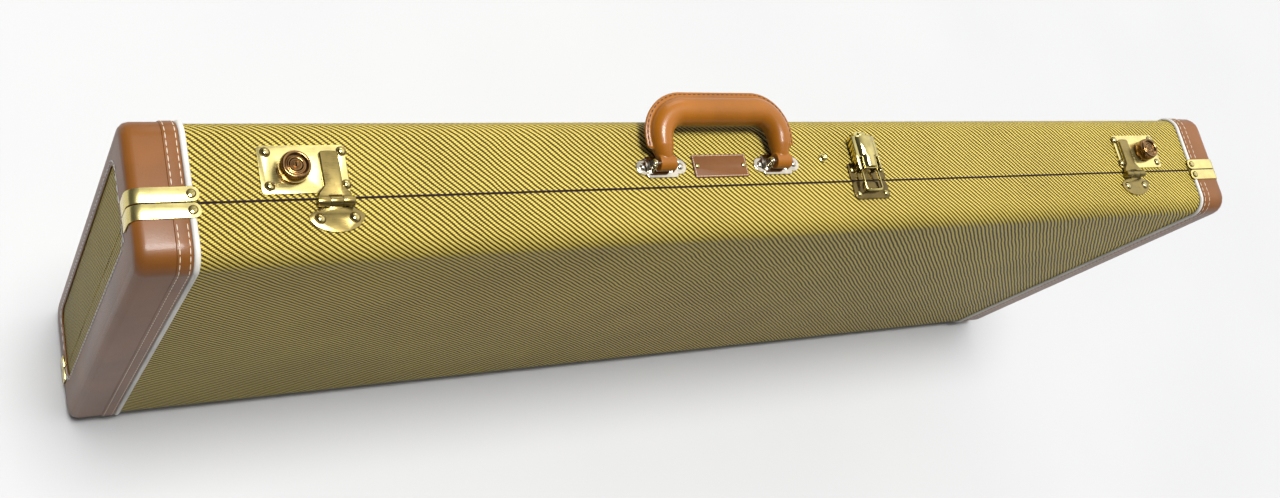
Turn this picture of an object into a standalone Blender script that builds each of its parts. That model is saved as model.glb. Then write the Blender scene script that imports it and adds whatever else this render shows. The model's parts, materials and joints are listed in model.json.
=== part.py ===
"""Tweed hard case for an electric guitar, standing on its hinge side.

Two plywood trays, the base and the lid, are covered in cloth, capped with leather at both ends
and hinged along one long side. Two key locks with hasps and a draw latch close them on the other
long side, where the handle is. The body's bed, the neck's bed and an accessory box lie in the base.

World frame: X along the length, -Y on the lid's big face, +Z from the hinges up to the handle,
z = 0 on the floor. The functions below work in the case's own frame instead, with y = 0 at half
the depth and z = 0 on the covering of the hinge side, and new_object() moves each mesh over.
"""

import math

import bmesh
import bpy
from mathutils import Matrix, Vector

MM = 0.001

# Driving dimensions of the covered case, over the cloth
CASE_LENGTH = 1032.4 * MM
CASE_HEIGHT = 379.0 * MM
CASE_DEPTH = 100.5 * MM
SEAM_Y = -9.4 * MM
SEAM_GAP = 1.0 * MM
LONG_EDGE_RADIUS = 15.0 * MM
END_EDGE_RADIUS = 6.0 * MM
FOOT_HEIGHT = 7.0 * MM

# Layers of the wall, from the outside in
GAP = 0.3 * MM
LEATHER = 1.0 * MM
CLOTH = 1.2 * MM
PLYWOOD = 5.0 * MM
WALL = CLOTH + GAP + PLYWOOD
LINING = 3.0 * MM

# Leather end caps, their piping and the brass strips at the seam
CAP_INNER_X = 483.0 * MM
PIPING_X = 480.7 * MM
PIPING_RADIUS = 2.1 * MM
WINDOW_LID_BORDER = 28.0 * MM
WINDOW_BASE_BORDER = 15.0 * MM
WINDOW_TOP_BORDER = 31.0 * MM
WINDOW_BOTTOM_BORDER = 28.0 * MM
WINDOW_CORNER = 14.0 * MM
STRIP_WIDTH = 9.9 * MM
STRIP_THICKNESS = 0.9 * MM
STRIP_INNER_X = 475.4 * MM
STRIP_DROP = 20.0 * MM
STRIP_SCREW_X = 480.6 * MM

# Sheet metal fittings
PLATE = 1.2 * MM
RIVET_RADIUS = 3.0 * MM
RIVET_HEIGHT = 1.6 * MM

# Key locks, each at +-x
LOCK_PLATE_X = (378.4 * MM, 436.5 * MM)
LOCK_PLATE_Y = (-5.5 * MM, 28.2 * MM)
LOCK_RIVET_X = (380.9 * MM, 431.2 * MM)
LOCK_RIVET_RADIUS = 2.6 * MM
LOCK_RIVET_Y = (-0.2 * MM, 23.6 * MM)
LOCK_CASE_X = (380.6 * MM, 433.0 * MM)
LOCK_CASE_Y = (-2.0 * MM, 25.0 * MM)
LOCK_CASE_DEPTH = 6.2 * MM
KNOB_X = 415.0 * MM
KNOB_Y = 10.8 * MM
KNOB_RADIUS = 10.4 * MM
KNOB_HEIGHT = 10.4 * MM
KNOB_SHAFT_RADIUS = 4.4 * MM
KNOB_TRAVEL = 6.0 * MM
KEY_RADIUS = 4.4 * MM

# Hasps, hinged on the lid
HASP_X = 390.3 * MM
HASP_STRAP_WIDTH = 12.8 * MM
HASP_FLARE_WIDTH = 22.0 * MM
HASP_TIP_Y = 23.6 * MM
HASP_AXIS_Y = -12.6 * MM
HASP_AXIS_HEIGHT = 3.7 * MM
HASP_BARREL_RADIUS = 3.3 * MM
HASP_BARREL_LENGTH = 24.6 * MM
HASP_STRAP_HEIGHTS = (1.9 * MM, 4.1 * MM)
MOON_WIDTH = 37.6 * MM
MOON_TOP_Y = -16.2 * MM
MOON_BOTTOM_Y = -33.4 * MM
MOON_RIVET_OFFSET = 11.6 * MM
MOON_RIVET_Y = -23.6 * MM

# Draw latch
LATCH_X = 63.5 * MM
LATCH_PLATE_WIDTH = 37.0 * MM
LATCH_PLATE_LENGTH = 15.0 * MM
LATCH_AXIS_Y = -0.6 * MM
LATCH_AXIS_HEIGHT = 5.5 * MM
LEVER_WIDTH = 24.6 * MM
LEVER_WALL = 1.0 * MM
LEVER_END_Y = 27.5 * MM
LEVER_TAB_Y = 32.6 * MM
LEVER_HEIGHTS = (2.2 * MM, 9.2 * MM)
LEVER_SHOULDER = 8.0 * MM
LEVER_UNDERSIDE = 7.5 * MM
LEVER_REAR = 1.0 * MM
LEVER_TAB_HALF = 6.5 * MM
LEVER_TAB_HEIGHTS = (2.4 * MM, 5.6 * MM)
LATCH_EAR_RADIUS = 1.7 * MM
LATCH_EAR_THICKNESS = 1.1 * MM
LATCH_EAR_HALF = 1.6 * MM
LATCH_EAR_ROOT = 0.9 * MM
LATCH_STUB_RADIUS = 1.1 * MM
BAIL_WIRE = 1.1 * MM
BAIL_PLAY = 0.4 * MM
BAIL_SLOT_PAST_PIVOT = 1.2 * MM
BAIL_ARM_X = 8.4 * MM
BAIL_PIVOT = (6.6 * MM, 5.3 * MM)
BAIL_END_Y = -19.4 * MM

# Handle
HANDLE_X = -80.8 * MM
HANDLE_HALF_SPAN = 54.0 * MM
HANDLE_AXIS_Y = 7.0 * MM
HANDLE_AXIS_HEIGHT = 8.2 * MM
HANDLE_TILT = math.radians(9.0)
HANDLE_BAR_REACH = 40.0 * MM
HANDLE_CORNER = 21.0 * MM
HANDLE_BAR_RADIUS = 11.4 * MM
HANDLE_ARM_RADIUS = 9.4 * MM
HANDLE_EYE_RADIUS = 6.2 * MM
HANDLE_WELT = 4.2 * MM
HANDLE_WELT_HALF = 1.1 * MM
HANDLE_PIN_RADIUS = 1.8 * MM
MOUNT_WIDTH = 44.0 * MM

BADGE_SIZE = (50.0 * MM, 19.0 * MM)
STUD_PLACE = (22.5 * MM, 11.8 * MM)

# Hinges and feet
HINGE_PLACES = {"left": -380.0 * MM, "middle": 0.0, "right": 380.0 * MM}
HINGE_LENGTH = 50.0 * MM
HINGE_LEAF = 15.0 * MM
HINGE_AXIS_DROP = 3.4 * MM
HINGE_BARREL_RADIUS = 2.6 * MM
HINGE_PIN_RADIUS = 1.2 * MM
FOOT_RADIUS = 8.0 * MM
FOOT_X = 440.0 * MM
FOOT_Y = 26.0 * MM

# Beds inside the base
BED_FLOOR = 10.0 * MM
BED_TOP_BELOW_SEAM = 3.0 * MM
BED_SPLIT_X = -70.0 * MM
NECK_HALF_WIDTH = 34.0 * MM
HEAD_POCKET_X = (300.0 * MM, 492.0 * MM)
HEAD_HALF_WIDTH = 62.0 * MM
BOX_X = (-20.0 * MM, 210.0 * MM)
BOX_Z = (72.0 * MM, 130.0 * MM)
BOX_WALL = 4.0 * MM
BOX_TOP_BELOW_SEAM = 21.8 * MM
FLAP_THICKNESS = 3.0 * MM
FLAP_PLAY = 1.0 * MM

# The handle lies over the base's far edge, and the world origin is under the middle of the whole
HANDLE_FAR_Y = (
    HANDLE_AXIS_Y
    + math.cos(HANDLE_TILT) * (HANDLE_BAR_REACH + HANDLE_BAR_RADIUS + HANDLE_WELT)
    + math.sin(HANDLE_TILT) * HANDLE_WELT_HALF
)
PIPING_PROUD = GAP + PIPING_RADIUS
CASE_FRONT_Y = -CASE_DEPTH / 2 - PIPING_PROUD
WORLD_OFFSET = Vector((0.0, -(HANDLE_FAR_Y + CASE_FRONT_Y) / 2, FOOT_HEIGHT))

COLOURS = {
    "cloth": ((0.55, 0.42, 0.13), 0.75, 0.0),
    "leather": ((0.30, 0.11, 0.035), 0.35, 0.0),
    "handle_leather": ((0.52, 0.20, 0.04), 0.35, 0.0),
    "piping": ((0.85, 0.83, 0.78), 0.5, 0.0),
    "brass": ((0.80, 0.64, 0.30), 0.25, 1.0),
    "nickel": ((0.70, 0.66, 0.56), 0.2, 1.0),
    "plywood": ((0.55, 0.38, 0.22), 0.7, 0.0),
    "plush": ((0.55, 0.20, 0.05), 0.95, 0.0),
    "rubber": ((0.03, 0.03, 0.03), 0.8, 0.0),
}


def clear_scene():
    for old in list(bpy.data.objects):
        bpy.data.objects.remove(old)


def material(name):
    found = bpy.data.materials.get(name)
    if found:
        return found
    colour, roughness, metallic = COLOURS[name]
    made = bpy.data.materials.new(name)
    made.use_nodes = True
    shader = made.node_tree.nodes["Principled BSDF"]
    shader.inputs["Base Color"].default_value = (*colour, 1.0)
    shader.inputs["Roughness"].default_value = roughness
    shader.inputs["Metallic"].default_value = metallic
    return made


def new_object(name, bm, material_name):
    """Turn a bmesh in the case's frame into an object whose mesh is in world coordinates."""
    bmesh.ops.translate(bm, verts=bm.verts[:], vec=WORLD_OFFSET)
    bmesh.ops.recalc_face_normals(bm, faces=bm.faces[:])
    mesh = bpy.data.meshes.new(name)
    bm.to_mesh(mesh)
    bm.free()
    mesh.materials.append(material(material_name))
    mesh.shade_smooth()
    mesh.set_sharp_from_angle(angle=math.radians(32))
    made = bpy.data.objects.new(name, mesh)
    bpy.context.collection.objects.link(made)
    return made


def tool_object(name, bm):
    """A cutter or an added shape: it stays in the scene as a hidden wire guide."""
    made = new_object(name, bm, "rubber")
    made.hide_render = True
    made.display_type = "WIRE"
    return made


def boolean(target, operation, bm):
    tool = tool_object(f"{target.name}.{operation.lower()}.{len(target.modifiers)}", bm)
    modifier = target.modifiers.new(operation.title(), "BOOLEAN")
    modifier.operation = operation
    modifier.object = tool
    modifier.solver = "EXACT"


def pivot_empty(name, y, height, x=0.0):
    empty = bpy.data.objects.new(name, None)
    empty.location = WORLD_OFFSET + Vector((x, y, height))
    empty.empty_display_size = 0.02
    bpy.context.collection.objects.link(empty)
    return empty


def carry(pivot, *pieces):
    """Hang pieces, whose meshes are in world coordinates, on a pivot without moving them."""
    place = pivot.matrix_basis.translation.copy()
    parent = pivot.parent
    while parent:
        place += parent.matrix_basis.translation
        parent = parent.parent
    for piece in pieces:
        piece.parent = pivot
        if piece.type == "EMPTY":
            piece.location -= place
        else:
            piece.data.transform(Matrix.Translation(-place))


# Shapes, all in the case's frame

def box(x, y, z):
    bm = bmesh.new()
    bmesh.ops.create_cube(bm, size=1.0)
    size = Vector((x[1] - x[0], y[1] - y[0], z[1] - z[0]))
    middle = Vector((x[0] + x[1], y[0] + y[1], z[0] + z[1])) / 2
    bmesh.ops.scale(bm, verts=bm.verts[:], vec=size)
    bmesh.ops.translate(bm, verts=bm.verts[:], vec=middle)
    return bm


def mirrored(pair, sign):
    """A span of |x| on the side that sign names, low value first."""
    return tuple(sorted((pair[0] * sign, pair[1] * sign)))


def bevel_edges(bm, chosen, width, segments):
    edges = [edge for edge in bm.edges if chosen(edge)]
    bmesh.ops.bevel(
        bm, geom=edges, offset=width, offset_type="OFFSET", segments=segments,
        profile=0.5, affect="EDGES", clamp_overlap=False,
    )


def runs_along(edge, axis):
    direction = (edge.verts[1].co - edge.verts[0].co).normalized()
    return abs(direction[axis]) > 0.999


def at_least(edge, axis, value):
    return all(vert.co[axis] >= value - 1e-6 for vert in edge.verts)


def at_most(edge, axis, value):
    return all(vert.co[axis] <= value + 1e-6 for vert in edge.verts)


def join(*parts):
    """One bmesh out of several; its bodies stay apart."""
    whole = bmesh.new()
    for part in parts:
        mesh = bpy.data.meshes.new("join")
        part.to_mesh(mesh)
        whole.from_mesh(mesh)
        part.free()
        bpy.data.meshes.remove(mesh)
    return whole


def cylinder(radius, start, end, segments=20, end_radius=None):
    start = Vector(start)
    end = Vector(end)
    length = (end - start).length
    bm = bmesh.new()
    bmesh.ops.create_cone(
        bm, cap_ends=True, segments=segments, radius1=radius,
        radius2=radius if end_radius is None else end_radius, depth=length,
    )
    turn = Vector((0, 0, 1)).rotation_difference(end - start).to_matrix().to_4x4()
    bm.transform(Matrix.Translation((start + end) / 2) @ turn)
    return bm


def prism(outline, axis, low, high):
    """Extrude a closed outline of 2-D points along an axis: X takes (y, z), Y (x, z), Z (x, y)."""
    bm = bmesh.new()
    corners = []
    for a, b in outline:
        point = [a, b]
        point.insert(axis, low)
        corners.append(bm.verts.new(point))
    face = bm.faces.new(corners)
    grown = bmesh.ops.extrude_face_region(bm, geom=[face])
    top = [item for item in grown["geom"] if isinstance(item, bmesh.types.BMVert)]
    step = Vector((0, 0, 0))
    step[axis] = high - low
    bmesh.ops.translate(bm, verts=top, vec=step)
    return bm


def arc(centre, radius, start, end, steps):
    """Points on a circle from one angle to another, in degrees, both ends included."""
    points = []
    for step in range(steps + 1):
        angle = math.radians(start + (end - start) * step / steps)
        points.append((centre[0] + radius * math.cos(angle), centre[1] + radius * math.sin(angle)))
    return points


def rounded_rectangle(a, b, radius, steps=4):
    outline = []
    corners = (
        (a[1] - radius, b[1] - radius, 0), (a[0] + radius, b[1] - radius, 90),
        (a[0] + radius, b[0] + radius, 180), (a[1] - radius, b[0] + radius, 270),
    )
    for centre_a, centre_b, start in corners:
        outline += arc((centre_a, centre_b), radius, start, start + 90, steps)
    return outline


def dome(x, y, base_height, radius=RIVET_RADIUS, height=RIVET_HEIGHT, segments=10):
    """A rivet or screw head on the latch side, sunk a little into the plate that it holds."""
    low = CASE_HEIGHT + base_height - 0.4 * MM
    mid = CASE_HEIGHT + base_height + height * 0.55
    top = CASE_HEIGHT + base_height + height
    bm = bmesh.new()
    rings = []
    for z, share in ((low, 1.0), (mid, 0.86), (top, 0.4)):
        ring = []
        for step in range(segments):
            angle = 2 * math.pi * step / segments
            ring.append(bm.verts.new((
                x + radius * share * math.cos(angle), y + radius * share * math.sin(angle), z,
            )))
        rings.append(ring)
    for lower, upper in zip(rings, rings[1:]):
        for step in range(segments):
            following = (step + 1) % segments
            bm.faces.new((lower[step], lower[following], upper[following], upper[step]))
    bm.faces.new(rings[0][::-1])
    bm.faces.new(rings[-1])
    return bm


def on_latch_side(heights):
    return tuple(CASE_HEIGHT + height for height in heights)


# Trays, caps and piping: skins around one rounded block

def case_block(inset):
    """The whole case as a block with rounded edges, its faces moved in by inset."""
    half = CASE_LENGTH / 2 - inset
    bm = box(
        (-half, half), (-CASE_DEPTH / 2 + inset, CASE_DEPTH / 2 - inset),
        (inset, CASE_HEIGHT - inset),
    )
    long_radius = max(LONG_EDGE_RADIUS - inset, 3 * MM)
    end_radius = max(END_EDGE_RADIUS - inset, 1 * MM)
    bevel_edges(bm, lambda edge: runs_along(edge, 0), long_radius, 5)
    bevel_edges(
        bm, lambda edge: at_least(edge, 0, half) or at_most(edge, 0, -half), end_radius, 3,
    )
    return bm


def keep_beyond(bm, axis, value, side):
    """Drop what lies on the wrong side of a plane across an axis, and leave the cut open."""
    plane = Vector((0, 0, 0))
    point = Vector((0, 0, 0))
    plane[axis] = -side
    point[axis] = value
    everything = bm.verts[:] + bm.edges[:] + bm.faces[:]
    bmesh.ops.bisect_plane(bm, geom=everything, plane_co=point, plane_no=plane, clear_outer=True)


def half_skin(outer_inset, inner_inset, side, cut_x=None):
    """The skin between two insets on one side of the seam (+1 base, -1 lid), rim included."""
    skins = []
    for inset in (outer_inset, inner_inset):
        skin = case_block(inset)
        keep_beyond(skin, 1, SEAM_Y + side * SEAM_GAP / 2, side)
        if cut_x is not None:
            keep_beyond(skin, 0, cut_x, math.copysign(1, cut_x))
        skins.append(skin)
    bmesh.ops.reverse_faces(skins[1], faces=skins[1].faces[:])
    whole = join(*skins)
    rims = [edge for edge in whole.edges if edge.is_boundary]
    bmesh.ops.bridge_loops(whole, edges=rims)
    return whole


def end_cap(name, side, end):
    cap = new_object(name, half_skin(-GAP - LEATHER, -GAP, side, end * CAP_INNER_X), "leather")
    window = rounded_rectangle(
        (-CASE_DEPTH / 2 + WINDOW_LID_BORDER, CASE_DEPTH / 2 - WINDOW_BASE_BORDER),
        (WINDOW_BOTTOM_BORDER, CASE_HEIGHT - WINDOW_TOP_BORDER), WINDOW_CORNER,
    )
    low, high = mirrored((CASE_LENGTH / 2 - 4 * MM, CASE_LENGTH / 2 + 4 * MM), end)
    boolean(cap, "DIFFERENCE", prism(window, 0, low, high))
    return cap


def piping(name, side, end):
    """A half-round cord round three sides, from one brass strip to the other."""
    start_y = SEAM_Y + side * (SEAM_GAP / 2 + STRIP_WIDTH + GAP)
    far_y = side * CASE_DEPTH / 2
    corner_y = far_y - side * LONG_EDGE_RADIUS
    top_z = CASE_HEIGHT - LONG_EDGE_RADIUS
    spine = [(start_y, CASE_HEIGHT, 90.0)]
    for step in range(7):
        angle = 90.0 - 15.0 * step
        spine.append((corner_y + side * LONG_EDGE_RADIUS * math.cos(math.radians(angle)),
                      top_z + LONG_EDGE_RADIUS * math.sin(math.radians(angle)), angle))
    for step in range(7):
        angle = -15.0 * step
        spine.append((corner_y + side * LONG_EDGE_RADIUS * math.cos(math.radians(angle)),
                      LONG_EDGE_RADIUS + LONG_EDGE_RADIUS * math.sin(math.radians(angle)), angle))
    spine.append((start_y, 0.0, -90.0))
    section = arc((0.0, GAP), PIPING_RADIUS, 0, 180, 6)
    bm = bmesh.new()
    rings = []
    for y, z, angle in spine:
        out_y = side * math.cos(math.radians(angle))
        out_z = math.sin(math.radians(angle))
        rings.append([
            bm.verts.new((end * PIPING_X + along, y + out_y * proud, z + out_z * proud))
            for along, proud in section
        ])
    for before, after in zip(rings, rings[1:]):
        for step in range(len(section)):
            following = (step + 1) % len(section)
            bm.faces.new((before[step], before[following], after[following], after[step]))
    bm.faces.new(rings[0])
    bm.faces.new(rings[-1][::-1])
    return new_object(name, bm, "piping")


def corner_strip(name, side, end, level):
    """A brass strip bent round the case's corner beside the seam; level is +1 at the latch side."""
    gap_out = 2 * GAP + LEATHER
    corner_x = CASE_LENGTH / 2 - END_EDGE_RADIUS
    edge_z = CASE_HEIGHT if level > 0 else 0.0
    corner_z = edge_z - level * END_EDGE_RADIUS
    outline = []
    for proud, order in ((gap_out, 1), (gap_out + STRIP_THICKNESS, -1)):
        bend = arc((corner_x, 0.0), END_EDGE_RADIUS + proud, 90, 0, 4)
        path = [(STRIP_INNER_X, edge_z + level * proud)]
        path += [(x, corner_z + level * z) for x, z in bend]
        path.append((CASE_LENGTH / 2 + proud, edge_z - level * STRIP_DROP))
        outline += path[::order]
    outline = [(end * x, z) for x, z in outline]
    near = SEAM_Y + side * SEAM_GAP / 2
    low, high = sorted((near, near + side * STRIP_WIDTH))
    bm = prism(outline, 1, low, high)
    bmesh.ops.recalc_face_normals(bm, faces=bm.faces[:])
    inner = end * STRIP_INNER_X
    bevel_edges(
        bm, lambda edge: runs_along(edge, 2) and abs(edge.verts[0].co.x - inner) < 1e-5,
        STRIP_WIDTH * 0.42, 3,
    )
    strip = new_object(name, bm, "brass")
    screw = dome(end * STRIP_SCREW_X, near + side * STRIP_WIDTH / 2, gap_out + STRIP_THICKNESS,
                 radius=2.2 * MM, height=0.7 * MM)
    if level < 0:
        bmesh.ops.scale(screw, verts=screw.verts[:], vec=Vector((1, 1, -1)))
        bmesh.ops.translate(screw, verts=screw.verts[:], vec=Vector((0, 0, CASE_HEIGHT)))
        bmesh.ops.reverse_faces(screw, faces=screw.faces[:])
    boolean(strip, "UNION", screw)
    return strip


# Fittings of the latch side

def lock_groove(sign):
    """The way that the hasp's staple takes through the base's rim, open to the seam."""
    half = 3.0 * MM
    return box(
        mirrored((HASP_X - half, HASP_X + half), sign), (SEAM_Y - 2 * MM, 21.0 * MM),
        on_latch_side((-3.8 * MM, 1.7 * MM)),
    )


def lock_opening(sign):
    """The hole in the base's wall that the lock's case sits in."""
    play = 0.4 * MM
    return box(
        mirrored((LOCK_CASE_X[0] - play, LOCK_CASE_X[1] + play), sign),
        (LOCK_CASE_Y[0] - play, LOCK_CASE_Y[1] + play), on_latch_side((-8 * MM, 2 * MM)),
    )


def lock_plate(name, sign):
    outline = rounded_rectangle(mirrored(LOCK_PLATE_X, sign), LOCK_PLATE_Y, 2.5 * MM, 2)
    plate = new_object(name, prism(outline, 2, *on_latch_side((GAP, GAP + PLATE))), "brass")
    rivets = [
        dome(sign * x, y, GAP + PLATE, radius=LOCK_RIVET_RADIUS)
        for x in LOCK_RIVET_X for y in LOCK_RIVET_Y
    ]
    boolean(plate, "UNION", join(*rivets))
    slot_end = KNOB_SHAFT_RADIUS + 0.4 * MM
    slot_x = mirrored((KNOB_X - slot_end, KNOB_X + KNOB_TRAVEL + slot_end), sign)
    slot = rounded_rectangle(slot_x, (KNOB_Y - slot_end, KNOB_Y + slot_end), slot_end * 0.98, 5)
    boolean(plate, "DIFFERENCE", prism(slot, 2, *on_latch_side((-1 * MM, 3 * MM))))
    boolean(plate, "DIFFERENCE", lock_groove(sign))
    return plate


def lock_case(name, sign):
    """A shallow open tray behind the lock plate, where the bolt slides."""
    body = new_object(
        name, box(mirrored(LOCK_CASE_X, sign), LOCK_CASE_Y, on_latch_side((-LOCK_CASE_DEPTH, 0))),
        "nickel",
    )
    wall = 1.0 * MM
    inside = box(
        mirrored((LOCK_CASE_X[0] + wall, LOCK_CASE_X[1] - wall), sign),
        (LOCK_CASE_Y[0] + wall, LOCK_CASE_Y[1] - wall),
        on_latch_side((-LOCK_CASE_DEPTH + wall, 2 * MM)),
    )
    boolean(body, "DIFFERENCE", inside)
    boolean(body, "DIFFERENCE", lock_groove(sign))
    return body


def turned(profile, x, y, segments=24):
    """Turn a closed profile of (radius, height) points about a line standing on the latch side."""
    bm = bmesh.new()
    rings = []
    for radius, height in profile:
        ring = []
        for step in range(segments):
            angle = 2 * math.pi * step / segments
            ring.append(bm.verts.new((
                x + radius * math.cos(angle), y + radius * math.sin(angle), CASE_HEIGHT + height,
            )))
        rings.append(ring)
    for below, above in zip(rings, rings[1:] + rings[:1]):
        for step in range(segments):
            following = (step + 1) % segments
            bm.faces.new((below[step], below[following], above[following], above[step]))
    return bm


def lock_knob(name, sign):
    base = GAP + PLATE + GAP
    bore = KEY_RADIUS + GAP
    profile = (
        (bore, base + 1.0 * MM), (KNOB_SHAFT_RADIUS + 3 * MM, base), (KNOB_RADIUS, base),
        (KNOB_RADIUS, base + KNOB_HEIGHT - 3.2 * MM), (KNOB_RADIUS - 1.2 * MM, base + KNOB_HEIGHT),
        (KNOB_RADIUS - 2.6 * MM, base + KNOB_HEIGHT), (KNOB_RADIUS - 3.2 * MM, base + KNOB_HEIGHT
                                                       - 1.2 * MM),
        (bore, base + KNOB_HEIGHT - 1.2 * MM),
    )
    knob = new_object(name, turned(profile, sign * KNOB_X, KNOB_Y), "brass")
    shaft = cylinder(
        KNOB_SHAFT_RADIUS, (sign * KNOB_X, KNOB_Y, CASE_HEIGHT - 2.6 * MM),
        (sign * KNOB_X, KNOB_Y, CASE_HEIGHT + base + 2.6 * MM), 16,
    )
    floor_disc = cylinder(
        bore + 1 * MM, (sign * KNOB_X, KNOB_Y, CASE_HEIGHT + base + 0.8 * MM),
        (sign * KNOB_X, KNOB_Y, CASE_HEIGHT + base + 2.6 * MM), 16,
    )
    bolt_x = (KNOB_X - 19 * MM, KNOB_X + 7 * MM)
    bolt = box(
        mirrored(bolt_x, sign), (KNOB_Y - 6.5 * MM, KNOB_Y + 6.5 * MM),
        on_latch_side((-3.6 * MM, -2.2 * MM)),
    )
    boolean(knob, "UNION", shaft)
    boolean(knob, "UNION", floor_disc)
    boolean(knob, "UNION", bolt)
    return knob


def key_cylinder(name, sign):
    base = GAP + PLATE + GAP
    place = Vector((sign * KNOB_X, KNOB_Y, CASE_HEIGHT + base))
    plug = new_object(
        name, cylinder(KEY_RADIUS, place + Vector((0, 0, 2.9 * MM)),
                       place + Vector((0, 0, KNOB_HEIGHT - 0.6 * MM)), 20), "nickel",
    )
    keyway = box(
        (place.x - 0.6 * MM, place.x + 0.6 * MM), (place.y - 2.6 * MM, place.y + 2.6 * MM),
        (place.z + 5.5 * MM, place.z + KNOB_HEIGHT + 1 * MM),
    )
    boolean(plug, "DIFFERENCE", keyway)
    return plug


def barrel(sign, start, end, radius, segments=16):
    """A piece of a hasp's hinge barrel between two offsets from the hasp's middle."""
    height = CASE_HEIGHT + HASP_AXIS_HEIGHT
    return cylinder(
        radius, (sign * HASP_X + start, HASP_AXIS_Y, height),
        (sign * HASP_X + end, HASP_AXIS_Y, height), segments,
    )


def hasp_knuckles():
    """Half the middle knuckle's length, and where the outer ones begin and end."""
    middle = HASP_BARREL_LENGTH / 6
    return middle, middle + GAP, HASP_BARREL_LENGTH / 2


def hasp(name, sign):
    centre = sign * HASP_X
    half = HASP_STRAP_WIDTH / 2
    flare = HASP_FLARE_WIDTH / 2
    root_y = HASP_AXIS_Y + HASP_BARREL_RADIUS + GAP
    tip = HASP_TIP_Y
    outline = [
        (centre - flare, root_y), (centre + flare, root_y), (centre + flare, root_y + 2.4 * MM),
        (centre + half, root_y + 7.5 * MM), (centre + half, tip - 1.6 * MM),
        (centre + half - 1.6 * MM, tip - 0.3 * MM), (centre, tip),
        (centre - half + 1.6 * MM, tip - 0.3 * MM), (centre - half, tip - 1.6 * MM),
        (centre - half, root_y + 7.5 * MM), (centre - flare, root_y + 2.4 * MM),
    ]
    strap = prism(outline, 2, *on_latch_side(HASP_STRAP_HEIGHTS))
    top = CASE_HEIGHT + HASP_STRAP_HEIGHTS[1]
    bmesh.ops.recalc_face_normals(strap, faces=strap.faces[:])
    bevel_edges(strap, lambda edge: at_least(edge, 2, top), 0.8 * MM, 1)
    made = new_object(name, strap, "brass")
    _, inner, outer = hasp_knuckles()
    tongues = []
    for way in (-1, 1):
        span = tuple(sorted((centre + way * inner, centre + way * outer * 0.89)))
        tongues.append(box(
            span, (HASP_AXIS_Y + 2.0 * MM, root_y + 1 * MM), on_latch_side(HASP_STRAP_HEIGHTS),
        ))
    boolean(made, "UNION", join(*tongues))
    boolean(made, "UNION", join(
        barrel(sign, -outer, -inner, HASP_BARREL_RADIUS), barrel(sign, inner, outer, HASP_BARREL_RADIUS),
    ))
    staple = box(
        (centre - 2.5 * MM, centre + 2.5 * MM), (16.5 * MM, 19.0 * MM),
        on_latch_side((-2.8 * MM, HASP_STRAP_HEIGHTS[0] + 0.5 * MM)),
    )
    boolean(made, "UNION", staple)
    boolean(made, "DIFFERENCE", barrel(sign, -outer - 1 * MM, outer + 1 * MM, 1.6 * MM, 12))
    return made


def hasp_plate(name, sign):
    """The half-moon plate on the lid, with the hasp's middle knuckle and its pin."""
    centre = sign * HASP_X
    half = MOON_WIDTH / 2
    depth = MOON_TOP_Y - 5.0 * MM - MOON_BOTTOM_Y
    outline = [(centre + HASP_FLARE_WIDTH / 2, MOON_TOP_Y), (centre - HASP_FLARE_WIDTH / 2, MOON_TOP_Y)]
    for step in range(11):
        angle = math.pi + math.pi * step / 10
        outline.append((
            centre + half * math.cos(angle), MOON_TOP_Y - 5.0 * MM + depth * math.sin(angle),
        ))
    heights = on_latch_side((GAP, GAP + PLATE))
    made = new_object(name, prism(outline, 2, *heights), "brass")
    middle, _, outer = hasp_knuckles()
    tongue = box(
        (centre - middle, centre + middle), (MOON_TOP_Y - 1 * MM, HASP_AXIS_Y),
        on_latch_side((GAP + 0.05 * MM, GAP + PLATE + 0.4 * MM)),
    )
    boolean(made, "UNION", tongue)
    boolean(made, "UNION", barrel(sign, -middle, middle, HASP_BARREL_RADIUS))
    boolean(made, "UNION", barrel(sign, -outer, outer, 1.25 * MM, 12))
    rivets = [
        dome(centre + way * MOON_RIVET_OFFSET, MOON_RIVET_Y, GAP + PLATE) for way in (-1, 1)
    ]
    boolean(made, "UNION", join(*rivets))
    return made


def draw_latch_base():
    near = SEAM_Y + SEAM_GAP / 2
    outline = rounded_rectangle(
        (LATCH_X - LATCH_PLATE_WIDTH / 2, LATCH_X + LATCH_PLATE_WIDTH / 2),
        (near, near + LATCH_PLATE_LENGTH), 2.0 * MM, 2,
    )
    made = new_object(
        "draw_latch_base", prism(outline, 2, *on_latch_side((GAP, GAP + PLATE))), "brass",
    )
    ears = []
    stubs = []
    wall_outside = LEVER_WIDTH / 2
    for way in (-1, 1):
        inner = BAIL_ARM_X + BAIL_WIRE + BAIL_PLAY
        ear_x = tuple(sorted((LATCH_X + way * inner, LATCH_X + way * (inner + LATCH_EAR_THICKNESS))))
        ear = [(LATCH_AXIS_Y - LATCH_EAR_HALF, CASE_HEIGHT + LATCH_EAR_ROOT),
               (LATCH_AXIS_Y + LATCH_EAR_HALF, CASE_HEIGHT + LATCH_EAR_ROOT)]
        ear += arc((LATCH_AXIS_Y, CASE_HEIGHT + LATCH_AXIS_HEIGHT), LATCH_EAR_RADIUS, -20, 200, 8)
        ears.append(prism(ear, 0, *ear_x))
        height = CASE_HEIGHT + LATCH_AXIS_HEIGHT
        stubs.append(cylinder(
            LATCH_STUB_RADIUS, (LATCH_X + way * (inner + GAP), LATCH_AXIS_Y, height),
            (LATCH_X + way * (wall_outside + 2 * GAP), LATCH_AXIS_Y, height), 12,
        ))
    boolean(made, "UNION", join(*ears))
    boolean(made, "UNION", join(*stubs))
    rivets = [
        dome(LATCH_X + way * 15.4 * MM, near + 8.6 * MM, GAP + PLATE, radius=2.2 * MM)
        for way in (-1, 1)
    ]
    boolean(made, "UNION", join(*rivets))
    return made


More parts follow.
